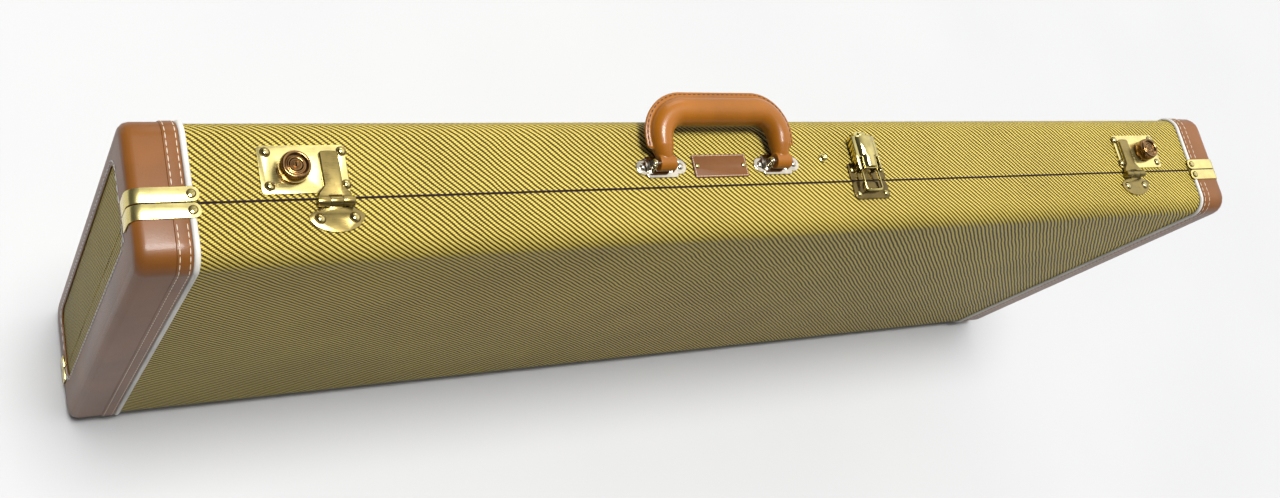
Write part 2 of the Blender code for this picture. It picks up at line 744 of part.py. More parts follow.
def draw_latch_lever():
    """An inverted channel with a domed back and a thumb tab, hung on the ears' stubs.

    Two slots in its back let the bail's arms through when it is lifted.
    """
    low, high = LEVER_HEIGHTS
    half = LEVER_WIDTH / 2
    back = LATCH_AXIS_Y - LEVER_REAR
    section = [(LATCH_X - half, CASE_HEIGHT + low), (LATCH_X + half, CASE_HEIGHT + low)]
    for step in range(9):
        angle = math.pi * step / 8
        section.append((
            LATCH_X + half * math.cos(angle),
            CASE_HEIGHT + LEVER_SHOULDER + (high - LEVER_SHOULDER) * math.sin(angle),
        ))
    made = new_object("draw_latch_lever", prism(section, 1, back, LEVER_END_Y), "brass")
    inside = box(
        (LATCH_X - half + LEVER_WALL, LATCH_X + half - LEVER_WALL),
        (back - 1 * MM, LEVER_END_Y - LEVER_WALL),
        on_latch_side((low - 1 * MM, LEVER_UNDERSIDE)),
    )
    boolean(made, "DIFFERENCE", inside)
    tab = rounded_rectangle(
        (LATCH_X - LEVER_TAB_HALF, LATCH_X + LEVER_TAB_HALF),
        (LEVER_END_Y - 0.7 * LEVER_WALL, LEVER_TAB_Y), 1.9 * MM, 3,
    )
    boolean(made, "UNION", prism(tab, 2, *on_latch_side(LEVER_TAB_HEIGHTS)))
    slot_half = BAIL_WIRE + BAIL_PLAY
    slots = [
        box(
            (LATCH_X + way * BAIL_ARM_X - slot_half, LATCH_X + way * BAIL_ARM_X + slot_half),
            (back - 1 * MM, BAIL_PIVOT[0] + BAIL_WIRE + BAIL_SLOT_PAST_PIVOT),
            on_latch_side((LATCH_AXIS_HEIGHT, high + 1 * MM)),
        )
        for way in (-1, 1)
    ]
    boolean(made, "DIFFERENCE", join(*slots))
    height = CASE_HEIGHT + LATCH_AXIS_HEIGHT
    bore = cylinder(
        LATCH_STUB_RADIUS + GAP, (LATCH_X - half - 1 * MM, LATCH_AXIS_Y, height),
        (LATCH_X + half + 1 * MM, LATCH_AXIS_Y, height), 12,
    )
    boolean(made, "DIFFERENCE", bore)
    return made


def draw_latch_bail():
    """The wire loop that the lever pulls: a closed rectangle of round wire."""
    height = CASE_HEIGHT + BAIL_PIVOT[1]
    far = BAIL_PIVOT[0]
    near = BAIL_END_Y
    corner = 2.2 * MM
    left = LATCH_X - BAIL_ARM_X
    right = LATCH_X + BAIL_ARM_X
    route = []
    for centre_x, centre_y, start in (
        (right - corner, far - corner, 0), (left + corner, far - corner, 90),
        (left + corner, near + corner, 180), (right - corner, near + corner, 270),
    ):
        route += arc((centre_x, centre_y), corner, start, start + 90, 2)
    bm = bmesh.new()
    rings = []
    count = len(route)
    for index, (x, y) in enumerate(route):
        before = Vector(route[index - 1])
        after = Vector(route[(index + 1) % count])
        tangent = (after - before).normalized()
        normal = Vector((tangent.y, -tangent.x))
        ring = []
        for step in range(8):
            angle = 2 * math.pi * (step + 0.5) / 8
            out = normal * (BAIL_WIRE * math.cos(angle))
            ring.append(bm.verts.new((x + out.x, y + out.y, height + BAIL_WIRE * math.sin(angle))))
        rings.append(ring)
    for index in range(count):
        following_ring = rings[(index + 1) % count]
        for step in range(8):
            following = (step + 1) % 8
            bm.faces.new((
                rings[index][step], rings[index][following],
                following_ring[following], following_ring[step],
            ))
    return new_object("draw_latch_bail", bm, "brass")


def draw_latch_catch():
    near = SEAM_Y - SEAM_GAP / 2
    half = LATCH_PLATE_WIDTH / 2
    outline = rounded_rectangle(
        (LATCH_X - half, LATCH_X + half), (near - LATCH_PLATE_LENGTH - 1 * MM, near), 4.0 * MM, 3,
    )
    made = new_object(
        "draw_latch_catch", prism(outline, 2, *on_latch_side((GAP, GAP + PLATE))), "brass",
    )
    hood = [(near - 1.0 * MM, CASE_HEIGHT + GAP + 0.6 * MM), (near - 1.0 * MM, CASE_HEIGHT + 3.3 * MM),
            (near - 2.5 * MM, CASE_HEIGHT + 3.7 * MM), (near - 7.5 * MM, CASE_HEIGHT + 3.7 * MM),
            (near - 9.0 * MM, CASE_HEIGHT + 3.0 * MM), (near - 11.0 * MM, CASE_HEIGHT + GAP + 0.6 * MM)]
    boolean(made, "UNION", prism(hood, 0, LATCH_X - 6.9 * MM, LATCH_X + 6.9 * MM))
    rivets = [
        dome(LATCH_X + way * 14.2 * MM, near - 11.4 * MM, GAP + PLATE, radius=2.4 * MM)
        for way in (-1, 1)
    ]
    boolean(made, "UNION", join(*rivets))
    return made


# Handle

def handle_frame(along, reach):
    """A point of the handle's plane: along X from its middle, reach away from its axis."""
    return Vector((
        HANDLE_X + along, HANDLE_AXIS_Y + reach * math.cos(HANDLE_TILT),
        CASE_HEIGHT + HANDLE_AXIS_HEIGHT + reach * math.sin(HANDLE_TILT),
    ))


def handle_route():
    """Middle line of the grip as (along, reach, outward angle, radius, welt), end to end."""
    half = HANDLE_HALF_SPAN + 1.0 * MM
    corner_reach = HANDLE_BAR_REACH - HANDLE_CORNER
    route = [
        (-HANDLE_HALF_SPAN, 3.0 * MM, 180.0, 5.6 * MM, 0.0),
        (-HANDLE_HALF_SPAN, 7.0 * MM, 180.0, 7.0 * MM, 0.0),
        (-half, 12.0 * MM, 180.0, 8.6 * MM, 0.0),
        (-half, 13.0 * MM, 180.0, 8.8 * MM, HANDLE_WELT),
    ]
    for step in range(7):
        angle = 180.0 - 15.0 * step
        share = step / 6
        radius = HANDLE_ARM_RADIUS + (HANDLE_BAR_RADIUS - HANDLE_ARM_RADIUS) * share
        route.append((
            -half + HANDLE_CORNER + HANDLE_CORNER * math.cos(math.radians(angle)),
            corner_reach + HANDLE_CORNER * math.sin(math.radians(angle)),
            angle, radius, HANDLE_WELT,
        ))
    other = [(-along, reach, 180.0 - angle, radius, welt) for along, reach, angle, radius, welt in route]
    return route + other[::-1]


def handle_grip():
    across = Vector((0, -math.sin(HANDLE_TILT), math.cos(HANDLE_TILT)))
    bm = bmesh.new()
    rings = []
    for along, reach, angle, radius, welt in handle_route():
        centre = handle_frame(along, reach)
        outward = (
            handle_frame(along + math.cos(math.radians(angle)), reach + math.sin(math.radians(angle)))
            - centre
        )
        ring = []
        edge = 12.0
        lip = max(welt, 0.05 * MM)
        for out, side in ((radius + lip, -HANDLE_WELT_HALF), (radius + lip, HANDLE_WELT_HALF)):
            ring.append(bm.verts.new(centre + outward * out + across * side))
        for step in range(11):
            turn = math.radians(edge + (360.0 - 2 * edge) * step / 10)
            ring.append(bm.verts.new(
                centre + outward * (radius * math.cos(turn)) + across * (radius * math.sin(turn))
            ))
        rings.append(ring)
    for before, after in zip(rings, rings[1:]):
        for step in range(len(before)):
            following = (step + 1) % len(before)
            bm.faces.new((before[step], before[following], after[following], after[step]))
    bm.faces.new(rings[0])
    bm.faces.new(rings[-1][::-1])
    grip = new_object("handle_grip", bm, "handle_leather")
    eyes = []
    bores = []
    for way in (-1, 1):
        middle = handle_frame(way * HANDLE_HALF_SPAN, 0.0)
        half = Vector((7.0 * MM, 0, 0))
        eyes.append(cylinder(HANDLE_EYE_RADIUS, middle - half, middle + half, 16))
        bores.append(cylinder(HANDLE_PIN_RADIUS + GAP, middle - 2 * half, middle + 2 * half, 12))
    boolean(grip, "UNION", join(*eyes))
    boolean(grip, "DIFFERENCE", join(*bores))
    return grip


def handle_mount(name, way):
    """A riveted plate with two ears and the pin that the handle's end swings on."""
    centre = HANDLE_X + way * HANDLE_HALF_SPAN
    heights = on_latch_side((GAP, GAP + PLATE))
    lobe = 6.2 * MM
    middle = rounded_rectangle(
        (centre - 13.5 * MM, centre + 13.5 * MM), (HANDLE_AXIS_Y - 8.6 * MM, HANDLE_AXIS_Y + 8.6 * MM),
        1.5 * MM, 2,
    )
    made = new_object(name, prism(middle, 2, *heights), "nickel")
    lobes = []
    rivets = []
    ears = []
    for side in (-1, 1):
        x = centre + side * (MOUNT_WIDTH / 2 - lobe)
        lobes.append(cylinder(lobe, (x, HANDLE_AXIS_Y, heights[0]), (x, HANDLE_AXIS_Y, heights[1]), 16))
        rivets.append(dome(x + side * 0.6 * MM, HANDLE_AXIS_Y, GAP + PLATE, radius=2.9 * MM))
        ear = [(HANDLE_AXIS_Y - 5.0 * MM, heights[0] + 0.3 * MM),
               (HANDLE_AXIS_Y + 5.0 * MM, heights[0] + 0.3 * MM)]
        ear += arc((HANDLE_AXIS_Y, CASE_HEIGHT + HANDLE_AXIS_HEIGHT), 3.6 * MM, -10, 190, 8)
        ear_x = sorted((centre + side * 8.4 * MM, centre + side * 9.8 * MM))
        ears.append(prism(ear, 0, *ear_x))
    boolean(made, "UNION", join(*lobes))
    boolean(made, "UNION", join(*ears))
    boolean(made, "UNION", join(*rivets))
    axis = Vector((centre, HANDLE_AXIS_Y, CASE_HEIGHT + HANDLE_AXIS_HEIGHT))
    half = Vector((10.4 * MM, 0, 0))
    boolean(made, "UNION", cylinder(HANDLE_PIN_RADIUS, axis - half, axis + half, 12))
    return made


def badge():
    width, height = BADGE_SIZE
    outline = rounded_rectangle(
        (HANDLE_X - width / 2, HANDLE_X + width / 2),
        (HANDLE_AXIS_Y - height / 2, HANDLE_AXIS_Y + height / 2), 1.2 * MM, 2,
    )
    made = new_object("badge", prism(outline, 2, *on_latch_side((GAP, GAP + PLATE))), "leather")
    rivets = [
        dome(HANDLE_X + way * 21.6 * MM, HANDLE_AXIS_Y, GAP + PLATE, radius=2.0 * MM, height=1.1 * MM)
        for way in (-1, 1)
    ]
    boolean(made, "UNION", join(*rivets))
    return made


# Hinge side

def hinge_point(offset, drop=HINGE_AXIS_DROP):
    return Vector((offset, SEAM_Y, -drop))


def hinge_leaf(name, side, x):
    """One leaf: the base's holds the pin and the outer knuckles, the lid's the middle one."""
    half = HINGE_LENGTH / 2
    middle = HINGE_LENGTH / 5
    clear = HINGE_BARREL_RADIUS + 0.4 * MM
    heights = (-GAP - PLATE, -GAP)
    leaf_y = sorted((SEAM_Y + side * clear, SEAM_Y + side * HINGE_LEAF))
    made = new_object(name, box((x - half, x + half), leaf_y, heights), "brass")
    tongue_y = sorted((SEAM_Y + side * 1.6 * MM, SEAM_Y + side * (clear + 1 * MM)))
    if side > 0:
        spans = ((-half, -middle - GAP), (middle + GAP, half))
    else:
        spans = ((-middle, middle),)
    tongues = [
        box((x + low, x + high), tongue_y, (-GAP - PLATE - 0.6 * MM, -GAP - 0.1 * MM))
        for low, high in spans
    ]
    knuckles = [
        cylinder(HINGE_BARREL_RADIUS, hinge_point(x + low), hinge_point(x + high), 14)
        for low, high in spans
    ]
    boolean(made, "UNION", join(*tongues))
    boolean(made, "UNION", join(*knuckles))
    if side > 0:
        pin = cylinder(HINGE_PIN_RADIUS, hinge_point(x - half), hinge_point(x + half), 12)
        boolean(made, "UNION", pin)
    else:
        bore = cylinder(HINGE_PIN_RADIUS + GAP, hinge_point(x - half), hinge_point(x + half), 12)
        boolean(made, "DIFFERENCE", bore)
    return made


def foot(name, x, y):
    bm = cylinder(FOOT_RADIUS, (x, y, -GAP), (x, y, -FOOT_HEIGHT), 20, FOOT_RADIUS - 1.5 * MM)
    return new_object(name, bm, "rubber")


# Inside

def body_pocket():
    """Outline of the guitar body's pocket as (x, z): two bouts blended by a power mean."""
    lower = (-372.0 * MM, 126.0 * MM, 166.0 * MM)
    upper = (-222.0 * MM, 112.0 * MM, 138.0 * MM)
    power = 5.0
    middle = CASE_HEIGHT / 2
    start = lower[0] - lower[1]
    end = upper[0] + upper[1] - 8 * MM
    steps = 22
    upper_side = []
    for step in range(steps + 1):
        ease = 0.5 - 0.5 * math.cos(math.pi * step / steps)
        x = start + (end - start) * ease
        total = 0.0
        for centre, length, width in (lower, upper):
            share = 1.0 - ((x - centre) / length) ** 2
            if share > 0:
                total += (width * math.sqrt(share)) ** power
        upper_side.append((x, max(total ** (1 / power), 2 * MM)))
    outline = [(x, middle + half) for x, half in upper_side]
    outline += [(x, middle - half) for x, half in reversed(upper_side)]
    return outline


def bed_block(x_low, x_high):
    """A block of the bed between two places along the case, clear of the base's walls."""
    inset = WALL + 2 * GAP
    return box(
        (x_low, x_high),
        (SEAM_Y + BED_TOP_BELOW_SEAM, CASE_DEPTH / 2 - WALL - BED_FLOOR - 2 * GAP),
        (inset, CASE_HEIGHT - inset),
    )


def body_bed():
    end = CASE_LENGTH / 2 - WALL - 2 * GAP
    bed = new_object("body_bed", bed_block(-end, BED_SPLIT_X - GAP / 2), "plush")
    boolean(bed, "DIFFERENCE", prism(body_pocket(), 1, SEAM_Y - 5 * MM, CASE_DEPTH / 2))
    middle = CASE_HEIGHT / 2
    channel = box(
        (-160 * MM, 0.0), (SEAM_Y - 5 * MM, CASE_DEPTH / 2),
        (middle - NECK_HALF_WIDTH, middle + NECK_HALF_WIDTH),
    )
    boolean(bed, "DIFFERENCE", channel)
    return bed


def neck_bed():
    end = CASE_LENGTH / 2 - WALL - 2 * GAP
    bed = new_object("neck_bed", bed_block(BED_SPLIT_X + GAP / 2, end), "plush")
    middle = CASE_HEIGHT / 2
    channel = box(
        (-160 * MM, HEAD_POCKET_X[0] + 20 * MM), (SEAM_Y - 5 * MM, 26 * MM),
        (middle - NECK_HALF_WIDTH, middle + NECK_HALF_WIDTH),
    )
    head = rounded_rectangle(
        HEAD_POCKET_X, (middle - HEAD_HALF_WIDTH, middle + HEAD_HALF_WIDTH), 18 * MM, 4,
    )
    play = GAP
    well = box(
        (BOX_X[0] - play, BOX_X[1] + play), (SEAM_Y - 5 * MM, CASE_DEPTH / 2),
        (BOX_Z[0] - play, BOX_Z[1] + play),
    )
    boolean(bed, "DIFFERENCE", channel)
    boolean(bed, "DIFFERENCE", prism(head, 1, SEAM_Y - 5 * MM, CASE_DEPTH / 2))
    boolean(bed, "DIFFERENCE", well)
    return bed


def bed_floor():
    inset = WALL + 2 * GAP
    end = CASE_LENGTH / 2 - inset
    outer = CASE_DEPTH / 2 - WALL - GAP
    bm = box((-end, end), (outer - BED_FLOOR, outer), (inset, CASE_HEIGHT - inset))
    bevel_edges(bm, lambda edge: at_least(edge, 1, outer), LONG_EDGE_RADIUS - WALL + 1.5 * MM, 3)
    floor = new_object("bed_floor", bm, "plush")
    well = box(
        (BOX_X[0] - GAP, BOX_X[1] + GAP), (0.0, CASE_DEPTH), (BOX_Z[0] - GAP, BOX_Z[1] + GAP),
    )
    boolean(floor, "DIFFERENCE", well)
    return floor


def accessory_box():
    top = SEAM_Y + BOX_TOP_BELOW_SEAM
    bottom = CASE_DEPTH / 2 - WALL - GAP
    made = new_object("accessory_box", box(BOX_X, (top, bottom), BOX_Z), "plywood")
    inside = box(
        (BOX_X[0] + BOX_WALL, BOX_X[1] - BOX_WALL), (top - 1 * MM, bottom - BOX_WALL),
        (BOX_Z[0] + BOX_WALL, BOX_Z[1] - BOX_WALL),
    )
    boolean(made, "DIFFERENCE", inside)
    return made


def flap_axis():
    """Height and depth of the accessory lid's hinge line, on its front face at its upper edge."""
    return SEAM_Y + BOX_TOP_BELOW_SEAM - GAP - FLAP_THICKNESS, BOX_Z[1] - FLAP_PLAY


def accessory_lid():
    front, upper = flap_axis()
    bm = box(
        (BOX_X[0] + FLAP_PLAY, BOX_X[1] - FLAP_PLAY), (front, front + FLAP_THICKNESS),
        (BOX_Z[0] + FLAP_PLAY + 4 * MM, upper),
    )
    return new_object("accessory_lid", bm, "plush")


def lid_padding():
    inset = WALL + 2 * GAP
    end = CASE_LENGTH / 2 - inset
    outer = -CASE_DEPTH / 2 + WALL + GAP
    margin = LONG_EDGE_RADIUS + GAP
    bm = box((-end, end), (outer, outer + LINING), (margin, CASE_HEIGHT - margin))
    return new_object("lid_padding", bm, "plush")


# Assembly

ENDS = {"left": -1, "right": 1}
LEVELS = {"upper": 1, "lower": -1}


def build_tray(label, side):
    """The parts that the base and the lid both have: label names the half, side its side."""
    shell = new_object(f"{label}_shell", half_skin(CLOTH + GAP, WALL, side), "plywood")
    cover = new_object(f"{label}_cover", half_skin(0.0, CLOTH, side), "cloth")
    pieces = [shell, cover]
    for place, end in ENDS.items():
        pieces.append(end_cap(f"{label}_end_cap_{place}", side, end))
        pieces.append(piping(f"{label}_piping_{place}", side, end))
        for height, level in LEVELS.items():
            pieces.append(corner_strip(f"{label}_strip_{place}_{height}", side, end, level))
    for place, x in HINGE_PLACES.items():
        pieces.append(hinge_leaf(f"{label}_hinge_{place}", side, x))
    for place, end in ENDS.items():
        pieces.append(foot(f"{label}_foot_{place}", end * FOOT_X, side * FOOT_Y))
    return shell, cover, pieces


def build_base():
    shell, cover, _ = build_tray("base", 1)
    for sign in ENDS.values():
        for piece in (shell, cover):
            boolean(piece, "DIFFERENCE", lock_opening(sign))
            boolean(piece, "DIFFERENCE", lock_groove(sign))
    for place, sign in ENDS.items():
        lock_plate(f"lock_plate_{place}", sign)
        lock_case(f"lock_case_{place}", sign)
    draw_latch_base()
    handle_mount("handle_mount_left", -1)
    handle_mount("handle_mount_right", 1)
    badge()
    new_object("stud", dome(*STUD_PLACE, GAP + 0.4 * MM, radius=2.6 * MM, height=2.0 * MM), "brass")
    body_bed()
    neck_bed()
    bed_floor()
    accessory_box()


def build_lid():
    _, _, pieces = build_tray("lid", -1)
    pieces.append(lid_padding())
    pieces.append(draw_latch_catch())
    for place, sign in ENDS.items():
        pieces.append(hasp_plate(f"hasp_plate_{place}", sign))
    lid_pivot = pivot_empty("lid_pivot", SEAM_Y, -HINGE_AXIS_DROP)
    carry(lid_pivot, *pieces)
    for place, sign in ENDS.items():
        pivot = pivot_empty(
            f"hasp_pivot_{place}", HASP_AXIS_Y, CASE_HEIGHT + HASP_AXIS_HEIGHT, sign * HASP_X,
        )
        carry(lid_pivot, pivot)
        carry(pivot, hasp(f"hasp_{place}", sign))


def build_moving_parts():
    for place, sign in ENDS.items():
        slide = pivot_empty(f"knob_pivot_{place}", KNOB_Y, CASE_HEIGHT, sign * KNOB_X)
        carry(slide, lock_knob(f"lock_knob_{place}", sign), key_cylinder(f"key_cylinder_{place}", sign))
    lever_pivot = pivot_empty(
        "draw_latch_pivot", LATCH_AXIS_Y, CASE_HEIGHT + LATCH_AXIS_HEIGHT, LATCH_X,
    )
    carry(lever_pivot, draw_latch_lever())
    bail_pivot = pivot_empty("bail_pivot", BAIL_PIVOT[0], CASE_HEIGHT + BAIL_PIVOT[1], LATCH_X)
    carry(lever_pivot, bail_pivot)
    carry(bail_pivot, draw_latch_bail())
    handle_pivot = pivot_empty(
        "handle_pivot", HANDLE_AXIS_Y, CASE_HEIGHT + HANDLE_AXIS_HEIGHT, HANDLE_X,
    )
    carry(handle_pivot, handle_grip())
    flap_y, flap_z = flap_axis()
    flap_pivot = pivot_empty("accessory_lid_pivot", flap_y, flap_z, sum(BOX_X) / 2)
    carry(flap_pivot, accessory_lid())


def main():
    clear_scene()
    build_base()
    build_lid()
    build_moving_parts()


main()
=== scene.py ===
import json
import math

import bpy
from mathutils import Matrix, Vector


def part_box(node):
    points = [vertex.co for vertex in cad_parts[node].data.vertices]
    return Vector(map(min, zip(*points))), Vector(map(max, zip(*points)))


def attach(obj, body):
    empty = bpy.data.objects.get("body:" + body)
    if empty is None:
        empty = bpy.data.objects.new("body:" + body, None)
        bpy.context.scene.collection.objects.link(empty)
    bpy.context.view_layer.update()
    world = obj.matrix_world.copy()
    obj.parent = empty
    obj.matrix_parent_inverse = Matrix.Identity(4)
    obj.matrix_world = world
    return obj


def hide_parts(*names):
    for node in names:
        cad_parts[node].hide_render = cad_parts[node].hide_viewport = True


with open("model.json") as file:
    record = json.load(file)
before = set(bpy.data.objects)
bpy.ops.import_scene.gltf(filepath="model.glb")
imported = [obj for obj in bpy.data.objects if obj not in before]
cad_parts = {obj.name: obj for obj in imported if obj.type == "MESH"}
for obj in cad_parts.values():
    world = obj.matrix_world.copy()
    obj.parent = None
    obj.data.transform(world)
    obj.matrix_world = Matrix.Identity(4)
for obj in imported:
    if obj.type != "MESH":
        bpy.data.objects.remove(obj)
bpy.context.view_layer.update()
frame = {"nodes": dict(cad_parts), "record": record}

bl_info = {
    "name": "Tweed Guitar Case",
    "version": (1, 0, 0),
    "blender": (4, 5, 0),
    "location": "View3D > Sidebar > Guitar Case",
    "description": "Dresses a guitar case's frame in tweed, leather, brass and plush",
    "category": "Object",
}

MM = 0.001
BODY_OF = {
    node: body for body, nodes in frame["record"]["behaviour"]["bodies"].items() for node in nodes
}
SLOT_OF = {row["node"]: row["material_slot"] for row in frame["record"]["subparts"]}
ENDS = {"left": -1, "right": 1}
TRAYS = {"base": 1, "lid": -1}

# The covered case, read from the frame
BASE_LOW, BASE_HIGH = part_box("base_cover")
LID_LOW, LID_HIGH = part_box("lid_cover")
SEAM_Y = (BASE_LOW.y + LID_HIGH.y) / 2
TOP_Z = BASE_HIGH.z
BOTTOM_Z = BASE_LOW.z
HALF_X = BASE_HIGH.x
FAR_Y = {"base": BASE_HIGH.y, "lid": LID_LOW.y}

# How the coverings lie on it
LONG_EDGE = 15.0 * MM
LEATHER_TOP = 1.3 * MM
SEAM_HALF = 0.5 * MM
STRIP_WIDTH = 9.9 * MM
STRIP_CLEAR = 0.3 * MM
PLATE_TOP = TOP_Z + 1.5 * MM
ROUND_STEPS = 28
MERGE = 0.00001


class CaseSizes(bpy.types.PropertyGroup):
    """Sizes of the coverings' fine detail"""

    weave_pitch: bpy.props.FloatProperty(
        name="Weave Pitch", description="Width of one row of the tweed, in millimetres",
        default=3.3, min=0.5, max=8.0)
    weave_angle: bpy.props.FloatProperty(
        name="Weave Angle", description="Slant of the tweed's rows against the case's length",
        default=math.radians(45.0), subtype="ANGLE")
    stitch_pitch: bpy.props.FloatProperty(
        name="Stitch Pitch", description="Distance from one stitch of the ends to the next",
        default=5.2 * MM, min=1.0 * MM, unit="LENGTH")
    rim: bpy.props.FloatProperty(
        name="Metal Rim", description="Width of the softened edge of the sheet metal",
        default=0.35 * MM, min=0.0, unit="LENGTH")
    pile_voxel: bpy.props.FloatProperty(
        name="Padding Grid", description="Mesh size that the padding is simulated on",
        default=5.5 * MM, min=2.0 * MM, unit="LENGTH")


def tint(name, description, default):
    return bpy.props.FloatVectorProperty(
        name=name, description=description, subtype="COLOR", default=default, min=0.0, max=1.0)


class CaseColours(bpy.types.PropertyGroup):
    """Colours of the coverings and the metal"""

    yarn: tint("Yarn", "Light yarn of the tweed", (0.48, 0.375, 0.068))
    ground: tint("Ground", "Dark ground between the tweed's rows", (0.030, 0.016, 0.0015))
    end_leather: tint("End Leather", "Leather of the case's ends", (0.150, 0.052, 0.008))
    handle_leather: tint("Handle Leather", "Leather of the handle", (0.235, 0.078, 0.004))
    thread: tint("Thread", "Thread of the leather ends", (0.60, 0.52, 0.40))
    piping: tint("Piping", "Piping, and the whip stitches at the windows", (0.52, 0.50, 0.46))
    brass: tint("Brass", "Lacquered brass fittings", (0.78, 0.66, 0.26))
    plush: tint("Plush", "Lining of the inside", (0.27, 0.080, 0.018))


# Shader maths as Python expressions

class Value:
    """A number or colour that changes over the surface; arithmetic on it adds Math nodes."""

    def __init__(self, finish, socket):
        self.finish = finish
        self.socket = socket

    def using(self, operation, *others):
        return self.finish.node("ShaderNodeMath", {"operation": operation}, [self, *others])

    def __add__(self, other):
        return self.using("ADD", other)

    __radd__ = __add__

    def __sub__(self, other):
        return self.using("SUBTRACT", other)

    def __rsub__(self, other):
        return self.finish.node("ShaderNodeMath", {"operation": "SUBTRACT"}, [other, self])

    def __mul__(self, other):
        return self.using("MULTIPLY", other)

    __rmul__ = __mul__

    def __gt__(self, other):
        return self.using("GREATER_THAN", other)

    def __abs__(self):
        return self.using("ABSOLUTE")

    def arch(self):
        """A row of round arches from this number's fraction, 0 at whole numbers."""
        return (self.using("FRACT") * math.pi).using("SINE")


def set_stops(ramp, stops):
    """Give a colour ramp its stops as (position, colour)."""
    while len(ramp.elements) < len(stops):
        ramp.elements.new(0.5)
    for element, (position, colour) in zip(ramp.elements, stops):
        element.position = position
        element.color = (*colour, 1.0)


class Finish:
    """A material being made. Fixed values go on its shader, and varying ones are wired to it."""

    def __init__(self, name, **fixed):
        self.material = bpy.data.materials.new(name)
        self.material.use_nodes = True
        self.tree = self.material.node_tree
        self.shader = self.tree.nodes["Principled BSDF"]
        for label, value in fixed.items():
            socket = label.replace("_", " ").title().replace("Ior", "IOR")
            self.shader.inputs[socket].default_value = value

    def node(self, kind, settings=None, values=(), output=0):
        made = self.tree.nodes.new(kind)
        for key, setting in (settings or {}).items():
            if key == "stops":
                set_stops(made.color_ramp, setting)
            else:
                setattr(made, key, setting)
        pairs = values.items() if isinstance(values, dict) else enumerate(values)
        for key, value in pairs:
            if isinstance(value, Value):
                self.tree.links.new(value.socket, made.inputs[key])
            else:
                made.inputs[key].default_value = value
        return Value(self, made.outputs[output])

    def place(self):
        """Object coordinates in millimetres: the vector, then x, y and z."""
        point = self.node("ShaderNodeTexCoord", output=3)
        scaled = self.node("ShaderNodeVectorMath", {"operation": "SCALE"}, {0: point, 3: 1000.0})
        return [scaled] + [self.node("ShaderNodeSeparateXYZ", None, [scaled], n) for n in range(3)]

    def noise(self, point, scale, detail=2.0):
        return self.node("ShaderNodeTexNoise", None,
                         {"Vector": point, "Scale": scale, "Detail": detail})

    def ramp(self, value, *stops):
        return self.node("ShaderNodeValToRGB", {"stops": stops}, [value])

    def wire(self, label, value):
        self.tree.links.new(value.socket, self.shader.inputs[label])

    def relief(self, height, depth, strength=1.0):
        bump = self.node("ShaderNodeBump", None,
                         {"Height": height, "Distance": depth, "Strength": strength})
        self.wire("Normal", bump)


# How many beads of yarn fit along a row in the width of one row
BEADS_PER_ROW = 1.9


def shade(colour, factor):
    return tuple(min(1.0, channel * factor) for channel in colour)


def tweed(name, fall):
    """Diagonal twill. fall is +1 where the cloth turns down towards -Y, -1 towards +Y."""
    sizes = bpy.context.scene.case_sizes
    colours = bpy.context.scene.case_colours
    made = Finish(name, specular_ior_level=0.18)
    point, x, y, z = made.place()
    facing = made.node("ShaderNodeTexCoord", output=1)
    on_end = abs(made.node("ShaderNodeSeparateXYZ", None, [facing], 0)) > 0.7
    along = x + on_end * (y - fall * z)
    down = (y + fall * z) * -1.0
    slope, rise = math.cos(sizes.weave_angle), math.sin(sizes.weave_angle)
    sway = made.noise(point, 0.035) * 0.9
    row = (down * (slope / sizes.weave_pitch) - along * (rise / sizes.weave_pitch)) + sway
    reach = (along * slope + down * rise) * (BEADS_PER_ROW / sizes.weave_pitch)
    rope = row.arch()
    bead = (reach + row * 0.62).arch()
    height = rope * (0.48 + 0.52 * bead)
    speckle = made.noise(point, 0.9, 3.0)
    patch = made.noise(point, 0.012, 2.0)
    level = height + speckle * 0.22 + patch * 0.16 - 0.19
    # The dark ground between the rows is the cloth's own; the yarn going from 0.64 to 1.12 of its
    # colour from the beads' flanks to their crowns is painted shade and highlight
    made.wire("Base Color", made.ramp(
        level, (0.22, colours.ground), (0.40, shade(colours.ground, 2.4)),
        (0.58, shade(colours.yarn, 0.64)), (0.80, shade(colours.yarn, 1.12))))
    made.wire("Roughness", 0.62 - height * 0.16)
    made.relief(height + speckle * 0.12, 0.6 * MM, 0.9)
    return made.material


def leather(name, colour, rough=0.34, grain=1.0, coat=0.12):
    made = Finish(name, coat_weight=coat, coat_roughness=0.14, specular_ior_level=0.25)
    point, *_ = made.place()
    cells = made.node("ShaderNodeTexVoronoi", {"feature": "DISTANCE_TO_EDGE"},
                      {"Vector": point, "Scale": 0.85})
    creases = cells.using("MINIMUM", 0.16) * 6.0
    fine = made.noise(point, 1.7, 3.0)
    tone = made.noise(point, 0.02, 4.0) * 0.75 + fine * 0.25
    made.wire("Base Color", made.ramp(
        tone, (0.28, shade(colour, 0.70)), (0.52, colour), (0.78, shade(colour, 1.30))))
    made.wire("Roughness", rough + fine * 0.14)
    made.relief(creases * 0.55 + fine * 0.45, 0.09 * MM * grain, 0.5)
    return made.material


def thread(name, colour):
    made = Finish(name, roughness=0.7)
    _, x, y, z = made.place()
    twist = ((x + y + z) * 1.7).arch()
    # The colour darkens into the grooves between the twists: painted shade
    made.wire("Base Color", made.ramp(twist, (0.0, shade(colour, 0.72)), (1.0, colour)))
    made.relief(twist, 0.12 * MM, 0.6)
    return made.material


def metal(name, colour, rough, tarnish=0.5, brushed=1.0):
    made = Finish(name, metallic=1.0)
    point, *_ = made.place()
    stretched = made.node("ShaderNodeVectorMath", {"operation": "MULTIPLY"},
                          {0: point, 1: (0.12, 2.6, 2.6)})
    brush = made.noise(stretched, 1.0, 3.0)
    cloud = made.noise(point, 0.11, 4.0)
    made.wire("Base Color", made.ramp(
        cloud, (0.30, shade(colour, 1.0 - 0.42 * tarnish)), (0.55, colour),
        (0.80, shade(colour, 1.08))))
    made.wire("Roughness", rough + brush * 0.12 * brushed + cloud * 0.06)
    made.relief(brush, 0.012 * MM * brushed, 0.4)
    return made.material


